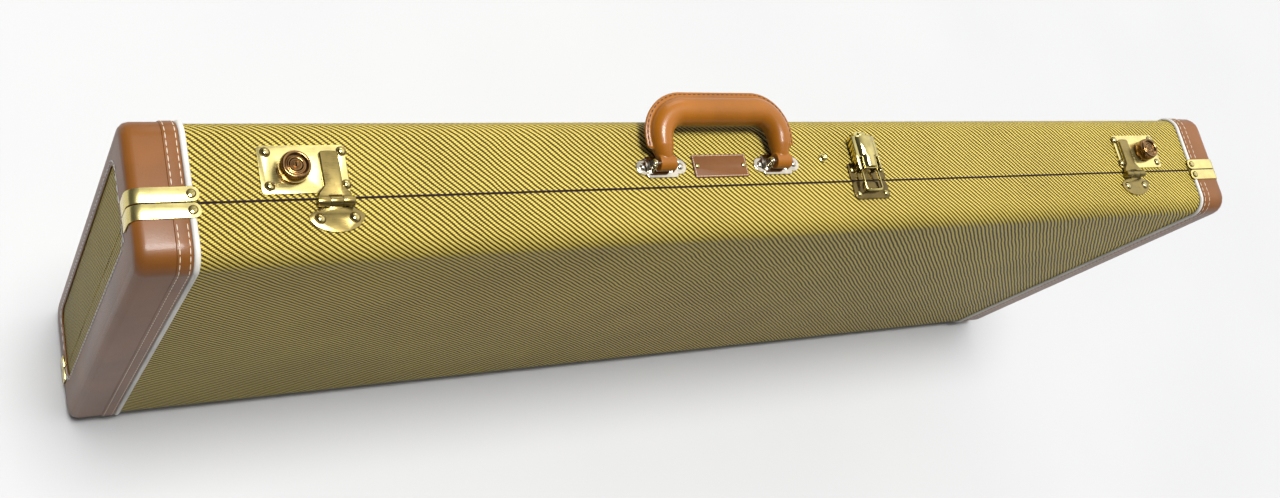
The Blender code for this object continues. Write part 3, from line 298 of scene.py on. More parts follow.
def plywood(name):
    made = Finish(name)
    point, *_ = made.place()
    stretched = made.node("ShaderNodeVectorMath", {"operation": "MULTIPLY"},
                          {0: point, 1: (0.012, 0.5, 0.16)})
    grain = made.noise(stretched, 1.0, 5.0)
    made.wire("Base Color", made.ramp(
        grain, (0.25, (0.24, 0.12, 0.045)), (0.5, (0.46, 0.28, 0.13)), (0.8, (0.60, 0.41, 0.22))))
    made.wire("Roughness", 0.55 + grain * 0.2)
    made.relief(grain, 0.15 * MM, 0.5)
    return made.material


def plush(name, colour):
    made = Finish(name, sheen_weight=0.2, sheen_roughness=0.35, specular_ior_level=0.2)
    point, *_ = made.place()
    pile = made.noise(point, 1.1, 4.0)
    stroke = made.noise(point, 0.018, 3.0)
    made.wire("Base Color", made.ramp(
        stroke * 0.6 + pile * 0.4, (0.30, shade(colour, 0.55)), (0.55, colour),
        (0.80, shade(colour, 1.5))))
    made.wire("Roughness", 0.82 + pile * 0.15)
    made.relief(pile, 0.7 * MM, 0.7)
    return made.material


def rubber(name):
    made = Finish(name)
    point, *_ = made.place()
    dust = made.noise(point, 0.5, 4.0)
    made.wire("Base Color", made.ramp(
        dust, (0.3, (0.015, 0.015, 0.015)), (0.8, (0.06, 0.057, 0.05))))
    made.wire("Roughness", 0.6 + dust * 0.25)
    made.relief(dust, 0.1 * MM, 0.4)
    return made.material


def finish_named(wanted):
    """The finish of that name, made when it is first asked for."""
    name = f"{wanted}_finish"  # the frame's own materials have the plain names
    found = bpy.data.materials.get(name)
    if found:
        return found
    colours = bpy.context.scene.case_colours
    makers = {
        "tweed_base": lambda: tweed(name, -1.0),
        "tweed_lid": lambda: tweed(name, 1.0),
        "end_leather": lambda: leather(name, colours.end_leather),
        "handle_leather": lambda: leather(name, colours.handle_leather, 0.27, 0.7, 0.20),
        "badge_leather": lambda: leather(name, shade(colours.end_leather, 0.9), 0.4, 1.0, 0.1),
        "piping_vinyl": lambda: leather(name, colours.piping, 0.38, 0.5),
        "pale_thread": lambda: thread(name, colours.thread),
        "white_thread": lambda: thread(name, colours.piping),
        "tan_thread": lambda: thread(name, shade(colours.handle_leather, 0.15)),
        "satin_brass": lambda: metal(name, colours.brass, rough=0.20, tarnish=0.35),
        # Painted shade: a darker copy of the brass, for the hasps and their plates
        "shaded_hasp_brass": lambda: metal(name, (0.27, 0.205, 0.070), rough=0.20, tarnish=0.7),
        "dark_brass": lambda: metal(name, (0.26, 0.145, 0.055), 0.11, 0.9, brushed=0.3),
        "shadowed_brass": lambda: metal(name, (0.10, 0.07, 0.03), 0.35, 0.5, brushed=0.3),
        "dim_brass": lambda: metal(name, (0.15, 0.11, 0.04), rough=0.13, tarnish=0.7),
        "bright_brass": lambda: metal(name, shade(colours.brass, 0.72), 0.06, 0.7, brushed=0.3),
        "nickel": lambda: metal(name, (0.58, 0.53, 0.43), 0.09, 0.6, brushed=0.3),
        "plywood": lambda: plywood(name),
        "plush": lambda: plush(name, colours.plush),
        "rubber": lambda: rubber(name),
        # A near-black finish for the strip along the seam: painted shade
        "seam_shade": lambda: leather(name, (0.014, 0.005, 0.002), rough=0.7, coat=0.0),
    }
    return makers[wanted]()


# Modelling steps

def pick(piece):
    """Make one piece the only one selected, and active."""
    bpy.ops.object.select_all(action="DESELECT")
    piece.select_set(True)
    bpy.context.view_layer.objects.active = piece


def edit(piece):
    pick(piece)
    bpy.ops.object.mode_set(mode="EDIT")
    bpy.ops.mesh.select_all(action="SELECT")


def leave():
    bpy.ops.object.mode_set(mode="OBJECT")


def placed(name, data):
    """A new object in the scene, made of a mesh, a light or a camera."""
    made = bpy.data.objects.new(name, data)
    bpy.context.scene.collection.objects.link(made)
    return made


def piece_from(name, corners, edges=(), faces=()):
    mesh = bpy.data.meshes.new(name)
    mesh.from_pydata([tuple(c) for c in corners], list(edges), list(faces))
    return placed(name, mesh)


def joined(pieces):
    """Several pieces as one, which keeps the first one's name."""
    bpy.ops.object.select_all(action="DESELECT")
    for piece in pieces:
        piece.select_set(True)
    bpy.context.view_layer.objects.active = pieces[0]
    if len(pieces) > 1:
        bpy.ops.object.join()
    return pieces[0]


def cut_away(piece, cutter):
    """Cut the shape of a cutter out of a piece; the cutter goes."""
    pick(piece)
    cut = piece.modifiers.new("Cut", "BOOLEAN")
    cut.operation = "DIFFERENCE"
    cut.object = cutter
    bpy.ops.object.modifier_apply(modifier=cut.name)
    bpy.data.objects.remove(cutter)


def cut_box(piece, lay):
    """Cut out a box, which a matrix sizes and lays in place."""
    bpy.ops.mesh.primitive_cube_add(size=1.0, location=(0, 0, 0))
    bpy.context.object.data.transform(lay)
    cut_away(piece, bpy.context.object)


def soften(piece, rim, segments=2, angle=30.0):
    """Round the sharp edges of a piece."""
    pick(piece)
    rounding = piece.modifiers.new("Rim", "BEVEL")
    rounding.width = rim
    rounding.segments = segments
    rounding.limit_method = "ANGLE"
    rounding.angle_limit = math.radians(angle)
    bpy.ops.object.modifier_apply(modifier=rounding.name)


def smooth(piece, angle=35.0):
    pick(piece)
    bpy.ops.object.shade_smooth_by_angle(angle=math.radians(angle))


def settle(piece, finish, body, slot, *nodes):
    """Give a finished piece its material, its body and the nodes it stands for. The slot is not
    used.
    """
    piece.data.materials.clear()
    piece.data.materials.append(finish_named(finish))
    if nodes:
        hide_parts(*nodes)
    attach(piece, body)
    return piece


def merged_copy(node, suffix):
    """A copy of a CAD node with its doubled corners merged, left in edit mode."""
    piece = placed(f"{node}_{suffix}", frame["nodes"][node].data.copy())
    edit(piece)
    bpy.ops.mesh.customdata_custom_splitnormals_clear()
    bpy.ops.mesh.remove_doubles(threshold=MERGE)
    return piece


def dressed(node, finish, rim=0.0, segments=2, angle=35.0):
    """A merged and rounded copy of a CAD node, standing for it."""
    piece = merged_copy(node, "dressed")
    bpy.ops.mesh.dissolve_limited(angle_limit=math.radians(0.5))
    leave()
    if rim:
        soften(piece, rim, segments)
    smooth(piece, angle)
    return settle(piece, finish, BODY_OF[node], SLOT_OF[node], node)


def spun(name, profile, centre=(0, 0, 0), steps=ROUND_STEPS):
    """Turn a line of (radius, height) points in millimetres once about a line up from centre."""
    centre = Vector(centre)
    corners = [centre + Vector((radius * MM, 0.0, height * MM)) for radius, height in profile]
    piece = piece_from(name, corners, [(n, n + 1) for n in range(len(corners) - 1)])
    edit(piece)
    bpy.ops.mesh.spin(steps=steps, angle=2 * math.pi, center=centre, axis=(0, 0, 1))
    bpy.ops.mesh.select_all(action="SELECT")
    bpy.ops.mesh.remove_doubles(threshold=MERGE / 2)
    bpy.ops.mesh.normals_make_consistent(inside=False)
    leave()
    smooth(piece, 40.0)
    return piece


def copies(model, name, places, turns=None):
    """One piece made of copies of a model at places, each turned by a matrix; the model goes."""
    made = []
    for index, place in enumerate(places):
        copy = placed(f"{name}.{index}", model.data.copy())
        turn = turns[index].to_4x4() if turns else Matrix.Identity(4)
        copy.data.transform(Matrix.Translation(Vector(place)) @ turn)
        made.append(copy)
    bpy.data.objects.remove(model)
    whole = joined(made)
    whole.name = name
    return whole


def dome_profile(radius, height, steps=8):
    """A rivet's head as (radius, height) points, from its rim to its crown."""
    line = [(radius, -0.1)]
    for step in range(steps + 1):
        turn = math.pi / 2 * step / steps
        line.append((radius * math.cos(turn), height * math.sin(turn)))
    line[-1] = (0.0, height)
    return line


def ring_profile(radius, thickness, steps=8):
    """A round wire's section as (radius, height) points, closed."""
    return [(radius + thickness * math.cos(2 * math.pi * step / steps),
             thickness * math.sin(2 * math.pi * step / steps)) for step in range(steps + 1)]


def rivets(name, places, radius, height, body, ring=None):
    """Domed heads as one piece, and a dark ring of (radius, thickness) round each as another:
    painted shade round the heads.
    """
    settle(copies(spun("rivet", dome_profile(radius, height)), name, places),
           "bright_brass", body, "brass")
    if ring:
        around = copies(spun("ring", ring_profile(*ring)), name.replace("rivets", "rivet_shade_rings"),
                        places)
        settle(around, "shadowed_brass", body, "brass")


def lofted(name, rings):
    """Faces between rings of points, with the first and last ring filled."""
    count = len(rings[0])
    corners = [point for ring in rings for point in ring]
    faces = []
    for index in range(len(rings) - 1):
        for step in range(count):
            following = (step + 1) % count
            a, b = index * count, (index + 1) * count
            faces.append((a + step, a + following, b + following, b + step))
    faces.append(tuple(range(count)))
    faces.append(tuple(reversed(range(len(corners) - count, len(corners)))))
    piece = piece_from(name, corners, (), faces)
    edit(piece)
    bpy.ops.mesh.normals_make_consistent(inside=False)
    leave()
    return piece


def contour(tray, rise, gap, turn_steps=12):
    """The tray's outline across its length as (point, outward), from one strip to the other.

    rise is the height over the cloth, and gap the distance kept from the brass strips.
    """
    side = TRAYS[tray]
    start_y = SEAM_Y + side * (SEAM_HALF + STRIP_WIDTH + gap)
    corner_y = FAR_Y[tray] - side * LONG_EDGE
    line = [(start_y, TOP_Z, 90.0)]
    for low_corner, start in ((False, 90.0), (True, 0.0)):
        corner_z = BOTTOM_Z + LONG_EDGE if low_corner else TOP_Z - LONG_EDGE
        for step in range(turn_steps + 1):
            angle = math.radians(start - 90.0 * step / turn_steps)
            line.append((corner_y + side * LONG_EDGE * math.cos(angle),
                         corner_z + LONG_EDGE * math.sin(angle), math.degrees(angle)))
    line.append((start_y, BOTTOM_Z, -90.0))
    found = []
    for y, z, angle in line:
        outward = Vector((0, side * math.cos(math.radians(angle)), math.sin(math.radians(angle))))
        found.append((Vector((0, y, z)) + outward * rise, outward))
    return found


def spaced(line, pitch, margin=0.0):
    """Places every pitch along a line of (point, outward): (point, along, outward)."""
    lengths = [0.0]
    for (before, _), (after, _) in zip(line, line[1:]):
        lengths.append(lengths[-1] + (after - before).length)
    count = int((lengths[-1] - 2 * margin) / pitch)
    start = (lengths[-1] - count * pitch) / 2
    places = []
    index = 0
    for number in range(count + 1):
        reach = start + number * pitch
        while index < len(line) - 2 and lengths[index + 1] < reach:
            index += 1
        (before, out_a), (after, out_b) = line[index], line[index + 1]
        share = (reach - lengths[index]) / max(lengths[index + 1] - lengths[index], 1e-9)
        places.append((before.lerp(after, share), (after - before).normalized(),
                       out_a.lerp(out_b, share).normalized()))
    return places


def frame_of(along, outward):
    """A turn that lays +X along and +Z outward."""
    across = outward.cross(along).normalized()
    return Matrix((along, across, along.cross(across))).transposed()


def stitch_model(length, width, height):
    """One stitch, a short round bar that dips into the leather at both ends."""
    rings = []
    for step in range(7):
        share = step / 6
        swell = math.sin(math.pi * min(max(share, 0.04), 0.96)) ** 0.5
        rings.append([
            Vector(((share - 0.5) * length, width / 2 * swell * math.cos(turn),
                    height * (0.25 + 0.75 * swell) * (0.15 + 0.85 * max(0.0, math.sin(turn)))
                    - (0.25 * height if math.sin(turn) < 0 else 0.0)))
            for turn in (math.pi / 3 * n for n in range(6))
        ])
    piece = lofted("stitch", rings)
    smooth(piece, 60.0)
    return piece


def sewn(name, places, length, width, height, finish, body, slot):
    """A run of stitches at (point, along, outward) places, as one piece."""
    model = stitch_model(length, width, height)
    run = copies(model, name, [p for p, _, _ in places], [frame_of(a, o) for _, a, o in places])
    return settle(run, finish, body, slot)


# The operators, one for each piece or group of like pieces

class CoverTrays(bpy.types.Operator):
    """Tweed over both trays, a near-black strip of painted shade along the seam, and the bare
    plywood that shows inside
    """

    bl_idname = "guitar_case.cover_trays"
    bl_label = "Tweed Covers"

    seam_shade_reach = 477.0 * MM

    def execute(self, context):
        for tray in TRAYS:
            dressed(f"{tray}_cover", f"tweed_{tray}", angle=40.0)
            dressed(f"{tray}_shell", "plywood", 0.4 * MM, 1)
            self.shade_seam(tray)
        return {"FINISHED"}

    def shade_seam(self, tray):
        """A near-black strip over the cut edge of the cloth, along the seam on the latch side:
        painted shade of the gap between the trays.
        """
        side = TRAYS[tray]
        near, far = SEAM_Y + side * 0.14 * MM, SEAM_Y + side * 0.85 * MM
        low, high = TOP_Z - 1.2 * MM, TOP_Z + 0.12 * MM
        shoulder = side * (SEAM_HALF - 0.1 * MM) / 3
        section = ((near, low), (near, high - 0.1 * MM), (near + shoulder, high),
                   (far, high), (far, low))
        strip = lofted(f"{tray}_seam_shade", [
            [Vector((share * self.seam_shade_reach, y, z)) for y, z in section]
            for share in (-1.0, -0.5, 0.0, 0.5, 1.0)])
        smooth(strip, 40.0)
        settle(strip, "seam_shade", tray, "leather")


class CapEnds(bpy.types.Operator):
    """Leather ends with a raised binding, two rows of stitches and the window's whip stitches"""

    bl_idname = "guitar_case.cap_ends"
    bl_label = "Leather Ends"

    # The binding's section as (along the case, height), and where its two rows of stitches run
    band = ((483.2, 0.0), (483.5, 0.42), (484.3, 0.62), (492.0, 0.62), (492.8, 0.42), (493.1, 0.0))
    band_root = 0.2
    stitch_rows = (485.0, 491.3)
    # The end's window: the leather left round it, its corners, and how far out it is stitched
    window_side = {"base": 15.0, "lid": 28.0}
    window_top = 31.0
    window_bottom = 28.0
    window_radius = 14.0 * MM
    window_start = 14.0 * MM
    whip_inset = 2.2
    whip_pitch = 7.5 * MM

    def execute(self, context):
        for tray in TRAYS:
            for label, end in ENDS.items():
                dressed(f"{tray}_end_cap_{label}", "end_leather", 0.25 * MM, 1, 40.0)
                self.bind(tray, label, end)
                self.stitch(tray, label, end, context.scene.case_sizes.stitch_pitch)
                self.whip(tray, label, end)
        return {"FINISHED"}

    def bind(self, tray, label, end):
        """A raised strip of leather round the cap's inner edge."""
        last, first = self.band[-1][0], self.band[0][0]
        section = [*self.band, (last, -self.band_root), (first, -self.band_root)]
        rings = [
            [Vector((end * x * MM, point.y, point.z)) + outward * rise * MM for x, rise in section]
            for point, outward in contour(tray, LEATHER_TOP, STRIP_CLEAR)
        ]
        binding = lofted(f"{tray}_binding_{label}", rings)
        smooth(binding, 40.0)
        settle(binding, "end_leather", tray, "leather")

    def stitch(self, tray, label, end, pitch):
        """Two rows of stitches along the binding."""
        line = contour(tray, LEATHER_TOP + 0.5 * MM, STRIP_CLEAR)
        run = [(point + Vector((end * x * MM, 0, 0)), along, outward)
               for x in self.stitch_rows for point, along, outward in spaced(line, pitch, 3 * MM)]
        sewn(f"{tray}_binding_stitches_{label}", run, pitch * 0.80, 0.72 * MM, 0.42 * MM,
             "pale_thread", tray, "piping")

    def whip(self, tray, label, end):
        """Thick stitches over the inner edge of the leather that frames the end's window."""
        side = TRAYS[tray]
        y_far = FAR_Y[tray] - side * (self.window_side[tray] - self.whip_inset) * MM
        y_near = SEAM_Y + side * self.window_start
        top = TOP_Z - (self.window_top - self.whip_inset) * MM
        bottom = BOTTOM_Z + (self.window_bottom - self.whip_inset) * MM
        radius = self.window_radius
        outward = Vector((end, 0, 0))
        line = [(Vector((0, y_near, top)), outward)]
        for start, corner_z in ((90.0, top - radius), (0.0, bottom + radius)):
            for step in range(9):
                turn = math.radians(start - 90.0 * step / 8)
                line.append((Vector((0, y_far - side * radius + side * radius * math.cos(turn),
                                     corner_z + radius * math.sin(turn))), outward))
        line.append((Vector((0, y_near, bottom)), outward))
        face = Vector((end * (HALF_X + LEATHER_TOP), 0, 0))
        places = [(point + face, along, outward)
                  for point, along, _ in spaced(line, self.whip_pitch, 1 * MM)]
        sewn(f"{tray}_window_stitches_{label}", places, 5.0 * MM, 1.5 * MM, 0.8 * MM,
             "white_thread", tray, "piping")


class LayPiping(bpy.types.Operator):
    """White piping along the inner edge of the leather ends"""

    bl_idname = "guitar_case.lay_piping"
    bl_label = "Piping"

    def execute(self, context):
        for tray in TRAYS:
            for label in ENDS:
                node = f"{tray}_piping_{label}"
                low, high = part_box(node)
                middle, radius = (low.x + high.x) / 2, (high.x - low.x) / 2
                rings = []
                for point, outward in contour(tray, 0.3 * MM, STRIP_CLEAR, 16):
                    rings.append([
                        Vector((middle + radius * math.cos(turn), point.y, point.z))
                        + outward * radius * math.sin(turn)
                        for turn in (math.pi * n / 14 for n in range(15))
                    ])
                cord = lofted(f"{node}_cord", rings)
                smooth(cord, 50.0)
                settle(cord, "piping_vinyl", tray, "piping", node)
        return {"FINISHED"}


class FitStrips(bpy.types.Operator):
    """Brass strips beside the seam at both ends, with a slotted screw in each"""

    bl_idname = "guitar_case.fit_strips"
    bl_label = "Corner Strips"

    screw_x = 480.6 * MM
    screw_profile = ((2.6, 0.0), (2.6, 0.8), (2.3, 1.2), (1.4, 1.42), (0.0, 1.5))
    screw_proud = 0.75 * MM
    slot_size = (6 * MM, 0.7 * MM, 1.2 * MM, 1)
    slot_height = 1.45 * MM
    slot_turn = 28.0

    def execute(self, context):
        rim = context.scene.case_sizes.rim
        for tray, side in TRAYS.items():
            for label, end in ENDS.items():
                for level in ("upper", "lower"):
                    node = f"{tray}_strip_{label}_{level}"
                    dressed(node, "satin_brass", rim * 0.8)
                    up = 1 if level == "upper" else -1
                    low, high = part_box(node)
                    face = high.z if up > 0 else low.z
                    place = Vector((end * self.screw_x,
                                    SEAM_Y + side * (SEAM_HALF + STRIP_WIDTH / 2),
                                    face - up * self.screw_proud))
                    self.screw(f"{node}_screw", place, up, tray)
        return {"FINISHED"}

    def screw(self, name, place, up, body):
        head = spun(name, self.screw_profile)
        cut_box(head, Matrix.Translation((0, 0, self.slot_height))
                @ Matrix.Rotation(math.radians(self.slot_turn), 4, "Z")
                @ Matrix.Diagonal(self.slot_size))
        turn = Matrix.Identity(4) if up > 0 else Matrix.Rotation(math.pi, 4, "X")
        head.data.transform(Matrix.Translation(place) @ turn)
        smooth(head, 30.0)
        settle(head, "bright_brass", body, "brass")
        # A dark ring round the head: painted shade where the screw meets the strip
        ring = spun(f"{name}_ring", ring_profile(2.75, 0.35),
                    place + Vector((0, 0, up * self.screw_proud)))
        settle(ring, "shadowed_brass", body, "brass")


class FitLocks(bpy.types.Operator):
    """Two key locks: plates with rivets, turned knobs that slide, and key cylinders"""

    bl_idname = "guitar_case.fit_locks"
    bl_label = "Key Locks"

    rivet_x = (380.9, 431.2)
    rivet_y = (9.2, 33.0)
    knob_x, knob_y = 415.0 * MM, 20.2 * MM
    # Sections that are turned about the knob's middle, as (radius, height) points
    knob_profile = (
        (4.7, 3.0), (4.7, 11.0), (5.2, 11.15), (5.7, 11.0), (5.9, 10.7), (6.6, 10.6), (7.0, 10.9),
        (7.3, 11.5), (7.8, 12.0), (8.6, 12.15), (9.2, 12.0), (9.6, 11.5), (9.8, 10.7), (10.1, 9.6),
        (10.3, 8.6), (10.35, 4.4), (10.1, 3.9), (10.1, 3.5), (10.38, 3.1), (10.38, 2.0),
        (9.9, 1.85), (4.7, 1.85), (4.7, 3.0),
    )
    stem_profile = ((0.0, 1.8), (4.3, 1.8), (4.3, -2.4), (0.0, -2.4))
    floor_profile = ((0.0, 3.0), (4.8, 3.0), (4.8, 1.9), (0.0, 1.9))
    plug_profile = (
        (0.0, 3.2), (4.3, 3.2), (4.35, 10.6), (4.0, 11.05), (2.9, 11.1), (2.6, 10.75),
        (2.1, 10.75), (1.8, 11.2), (0.0, 11.3),
    )
    keyway_size = (0.8 * MM, 3.2 * MM, 6 * MM, 1)
    keyway_height = 9.5 * MM

    def execute(self, context):
        for label, sign in ENDS.items():
            dressed(f"lock_plate_{label}", "satin_brass", context.scene.case_sizes.rim)
            dressed(f"lock_case_{label}", "nickel")
            heads = [(sign * x * MM, SEAM_Y + y * MM, PLATE_TOP)
                     for x in self.rivet_x for y in self.rivet_y]
            rivets(f"lock_rivets_{label}", heads, 2.75, 1.7, "base", ring=(3.0, 0.55))
            self.knob(label, sign)
        return {"FINISHED"}

    def knob(self, label, sign):
        node = f"lock_knob_{label}"
        centre = Vector((sign * self.knob_x, SEAM_Y + self.knob_y, TOP_Z))
        cap = joined([spun(f"{node}_turned", self.knob_profile, centre, 72),
                      spun("stem", self.stem_profile, centre, 32),
                      spun("floor", self.floor_profile, centre, 32)])
        settle(cap, "dark_brass", BODY_OF[node], "brass", node)
        plug = f"key_cylinder_{label}"
        face = spun(f"{plug}_turned", self.plug_profile, centre, 48)
        cut_box(face, Matrix.Translation(centre + Vector((0, 0, self.keyway_height)))
                @ Matrix.Diagonal(self.keyway_size))
        smooth(face, 30.0)
        settle(face, "dark_brass", BODY_OF[plug], "nickel", plug)


class FitHasps(bpy.types.Operator):
    """Two hasps hinged on half-moon plates"""

    bl_idname = "guitar_case.fit_hasps"
    bl_label = "Hasps"

    middle_x = 390.3
    rivet_reach = 11.6
    rivet_y = -14.2 * MM

    def execute(self, context):
        rim = context.scene.case_sizes.rim
        for label, sign in ENDS.items():
            # The hasps and plates get the darkened brass: painted shade
            dressed(f"hasp_{label}", "shaded_hasp_brass", rim * 0.8)
            dressed(f"hasp_plate_{label}", "shaded_hasp_brass", rim * 0.9)
            heads = [(sign * self.middle_x * MM + way * self.rivet_reach * MM,
                      SEAM_Y + self.rivet_y, PLATE_TOP) for way in (-1, 1)]
            rivets(f"hasp_rivets_{label}", heads, 3.15, 1.7, "lid", ring=(3.35, 0.5))
        return {"FINISHED"}


class FitDrawLatch(bpy.types.Operator):
    """The draw latch's base, lever, wire bail and catch, and the stud beside it"""

    bl_idname = "guitar_case.fit_draw_latch"
    bl_label = "Draw Latch"

    # The lever's rounded back as (along the lever, half its width, its rise), in millimetres
    crown_steps = ((0.6, 5.6, 2.4), (1.4, 6.3, 4.2), (10.4, 6.4, 4.8), (11.4, 9.6, 4.8),
                   (27.0, 9.6, 4.8), (29.0, 9.2, 4.0), (30.2, 8.0, 1.6))
    crown_root = 1.8 * MM

    def execute(self, context):
        rim = context.scene.case_sizes.rim
        for node, finish, width in (
                ("draw_latch_base", "dim_brass", rim * 0.8),
                ("draw_latch_lever", "bright_brass", rim),
                ("draw_latch_bail", "bright_brass", 0.0),
                ("draw_latch_catch", "dim_brass", rim * 1.2),
                ("stud", "bright_brass", rim * 0.4)):
            dressed(node, finish, width, angle=50.0)
        self.crown()
        base_low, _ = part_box("draw_latch_base")
        catch_low, catch_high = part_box("draw_latch_catch")
        middle = (catch_low.x + catch_high.x) / 2
        for node, body, spread, y, radius in (
                ("draw_latch_base", "base", 15.4, base_low.y + 8.6 * MM, 2.35),
                ("draw_latch_catch", "lid", 14.2, catch_high.y - 11.4 * MM, 2.55)):
            heads = [(middle + way * spread * MM, y, PLATE_TOP) for way in (-1, 1)]
            rivets(f"{node}_rivets", heads, radius, 1.75, body)
        low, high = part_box("stud")
        collar = spun("stud_collar", ring_profile(3.3, 0.75),
                      ((low.x + high.x) / 2, (low.y + high.y) / 2, TOP_Z + 0.6 * MM), 36)
        settle(collar, "bright_brass", "base", "brass")
        return {"FINISHED"}

    def crown(self):
        """The lever's rounded back, narrow where the bail's arms pass, and its tab's rivet."""
        low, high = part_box("draw_latch_lever")
        middle = (low.x + high.x) / 2
        rings = [
            [Vector((middle + half * MM * math.cos(turn), low.y + along * MM,
                     high.z - self.crown_root + rise * MM * math.sin(turn)))
             for turn in (math.pi * n / 20 for n in range(21))]
            for along, half, rise in self.crown_steps
        ]
        back = lofted("draw_latch_crown", rings)
        smooth(back, 40.0)
        settle(back, "bright_brass", "draw_lever", "brass")
        rivet = spun("draw_latch_tab_rivet", dome_profile(3.0, 2.2),
                     (middle, high.y - 2.9 * MM, low.z + 3.2 * MM))
        settle(rivet, "bright_brass", "draw_lever", "brass")


class FitHandle(bpy.types.Operator):
    """A leather handle with a stitched welt, swinging on two riveted mounts"""

    bl_idname = "guitar_case.fit_handle"
    bl_label = "Handle"

    # The grip, in millimetres and degrees
    half_span = 55.0
    corner = 21.0
    reach = 40.0
    radius = 11.4
    welt = 4.2
    tilt = 9.0
    # The pin that it swings on, and the round eyes that take it
    pin_y = 16.4 * MM
    pin_rise = 8.2 * MM
    pin_radius = 2.1 * MM
    eye_span = 54.0
    eye_radius = 6.1 * MM
    voxel = 0.8 * MM

    def route(self):
        """The grip's middle line as (along, reach, outward angle, radius, welt), in millimetres."""
        line = []
        for step in range(9):
            share = step / 8
            line.append((-self.eye_span - share, 3.0 + 10.0 * share, 180.0,
                         5.6 + 3.2 * share ** 0.8, self.welt * max(0.0, share * 4 - 3)))
        for step in range(1, 6):
            line.append((-self.half_span, 13.0 + step * 1.0, 180.0, 8.8 + 0.1 * step, self.welt))
        for step in range(25):
            share = step / 24
            turn = math.radians(180.0 - 90.0 * share)
            line.append((-self.half_span + self.corner * (1 + math.cos(turn)),
                         self.reach - self.corner + self.corner * math.sin(turn),
                         180.0 - 90.0 * share, 9.4 + 2.0 * share, self.welt))
        other = [(-a, r, 180.0 - t, radius, w) for a, r, t, radius, w in line]
        middle = [(along, self.reach, 90.0, self.radius, self.welt) for along in (-22.0, 0.0, 22.0)]
        return line + middle + other[::-1]

    def execute(self, context):
        tilt = math.radians(self.tilt)
        middle_x = (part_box("handle_mount_left")[0].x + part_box("handle_mount_right")[1].x) / 2
        axis = Vector((middle_x, SEAM_Y + self.pin_y, TOP_Z + self.pin_rise))
        forth = Vector((0, math.cos(tilt), math.sin(tilt)))
        across = Vector((0, -math.sin(tilt), math.cos(tilt)))
        rings = []
        seam = []
        for along, reach, angle, radius, welt in self.route():
            centre = axis + Vector((along * MM, 0, 0)) + forth * reach * MM
            turn = math.radians(angle)
            outward = Vector((math.cos(turn), 0, 0)) + forth * math.sin(turn)
            if welt > 3.5:
                seam.append((centre + outward * (radius + welt * 0.52) * MM, outward))
            edge = radius + max(welt, 0.05)
            ring = []
            for out, side in ((edge - 0.5, -1.05), (edge, -0.6), (edge, 0.6), (edge - 0.5, 1.05)):
                ring.append(centre + (outward * out + across * side) * MM)
            for step in range(33):
                around = math.radians(9.0 + 342.0 * step / 32)
                ring.append(centre + (outward * radius * math.cos(around)
                                      + across * radius * math.sin(around)) * MM)
            rings.append(ring)
        grip = lofted("handle_grip_leather", rings)
        parts = [grip]
        for way in (-1, 1):
            bpy.ops.mesh.primitive_cylinder_add(
                vertices=48, radius=self.eye_radius, depth=14 * MM, rotation=(0, math.pi / 2, 0),
                location=axis + Vector((way * self.eye_span * MM, 0, 0)))
            parts.append(bpy.context.object)
            bpy.ops.object.transform_apply(location=True, rotation=True, scale=True)
        joined(parts)
        grip.data.remesh_voxel_size = self.voxel
        bpy.ops.object.voxel_remesh()
        relax = grip.modifiers.new("Relax", "SMOOTH")
        relax.factor = 0.5
        relax.iterations = 3
        bpy.ops.object.modifier_apply(modifier=relax.name)
        bpy.ops.mesh.primitive_cylinder_add(
            vertices=32, radius=self.pin_radius, depth=140 * MM, rotation=(0, math.pi / 2, 0),
            location=axis)
        cut_away(grip, bpy.context.object)
        smooth(grip, 50.0)
        settle(grip, "handle_leather", "handle", "handle_leather", "handle_grip")
        run = []
        for face in (-1, 1):
            line = [(point + across * face * 1.2 * MM, across * face) for point, _ in seam]
            run += spaced(line, 4.4 * MM, 1.0 * MM)
        sewn("handle_stitches", run, 3.0 * MM, 0.9 * MM, 0.45 * MM, "tan_thread", "handle",
             "handle_leather")
        for label in ENDS:
            dressed(f"handle_mount_{label}", "nickel", context.scene.case_sizes.rim)
        return {"FINISHED"}


class FitBadge(bpy.types.Operator):
    """A plain leather badge with a pale border and two rivets"""

    bl_idname = "guitar_case.fit_badge"
    bl_label = "Badge"

    rivet_reach = 21.6 * MM
    border = 1.0 * MM

    def execute(self, context):
        dressed("badge", "badge_leather", 0.3 * MM)
        low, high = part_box("badge")
        middle = (low + high) / 2
        rivets("badge_rivets", [(middle.x + way * self.rivet_reach, middle.y, PLATE_TOP)
                                for way in (-1, 1)], 2.1, 1.2, "base")
        half = Vector(((high.x - low.x) / 2 - self.border, (high.y - low.y) / 2 - self.border, 0))
        line = [(Vector((middle.x + sx * half.x, middle.y + sy * half.y, PLATE_TOP)),
                 Vector((0, 0, 1)))
                for sx, sy in ((-1, -1), (1, -1), (1, 1), (-1, 1), (-1, -1))]
        sewn("badge_border", spaced(line, 1.5 * MM), 1.2 * MM, 0.5 * MM, 0.2 * MM, "pale_thread",
             "base", "leather")
        return {"FINISHED"}


class FitHinges(bpy.types.Operator):
    """Hinges and rubber feet on the side that the case stands on"""

    bl_idname = "guitar_case.fit_hinges"
    bl_label = "Hinges and Feet"

    def execute(self, context):
        for tray in TRAYS:
            for label in ("left", "middle", "right"):
                dressed(f"{tray}_hinge_{label}", "satin_brass", 0.15 * MM, 1)
            for label in ENDS:
                dressed(f"{tray}_foot_{label}", "rubber", 0.6 * MM)
        return {"FINISHED"}


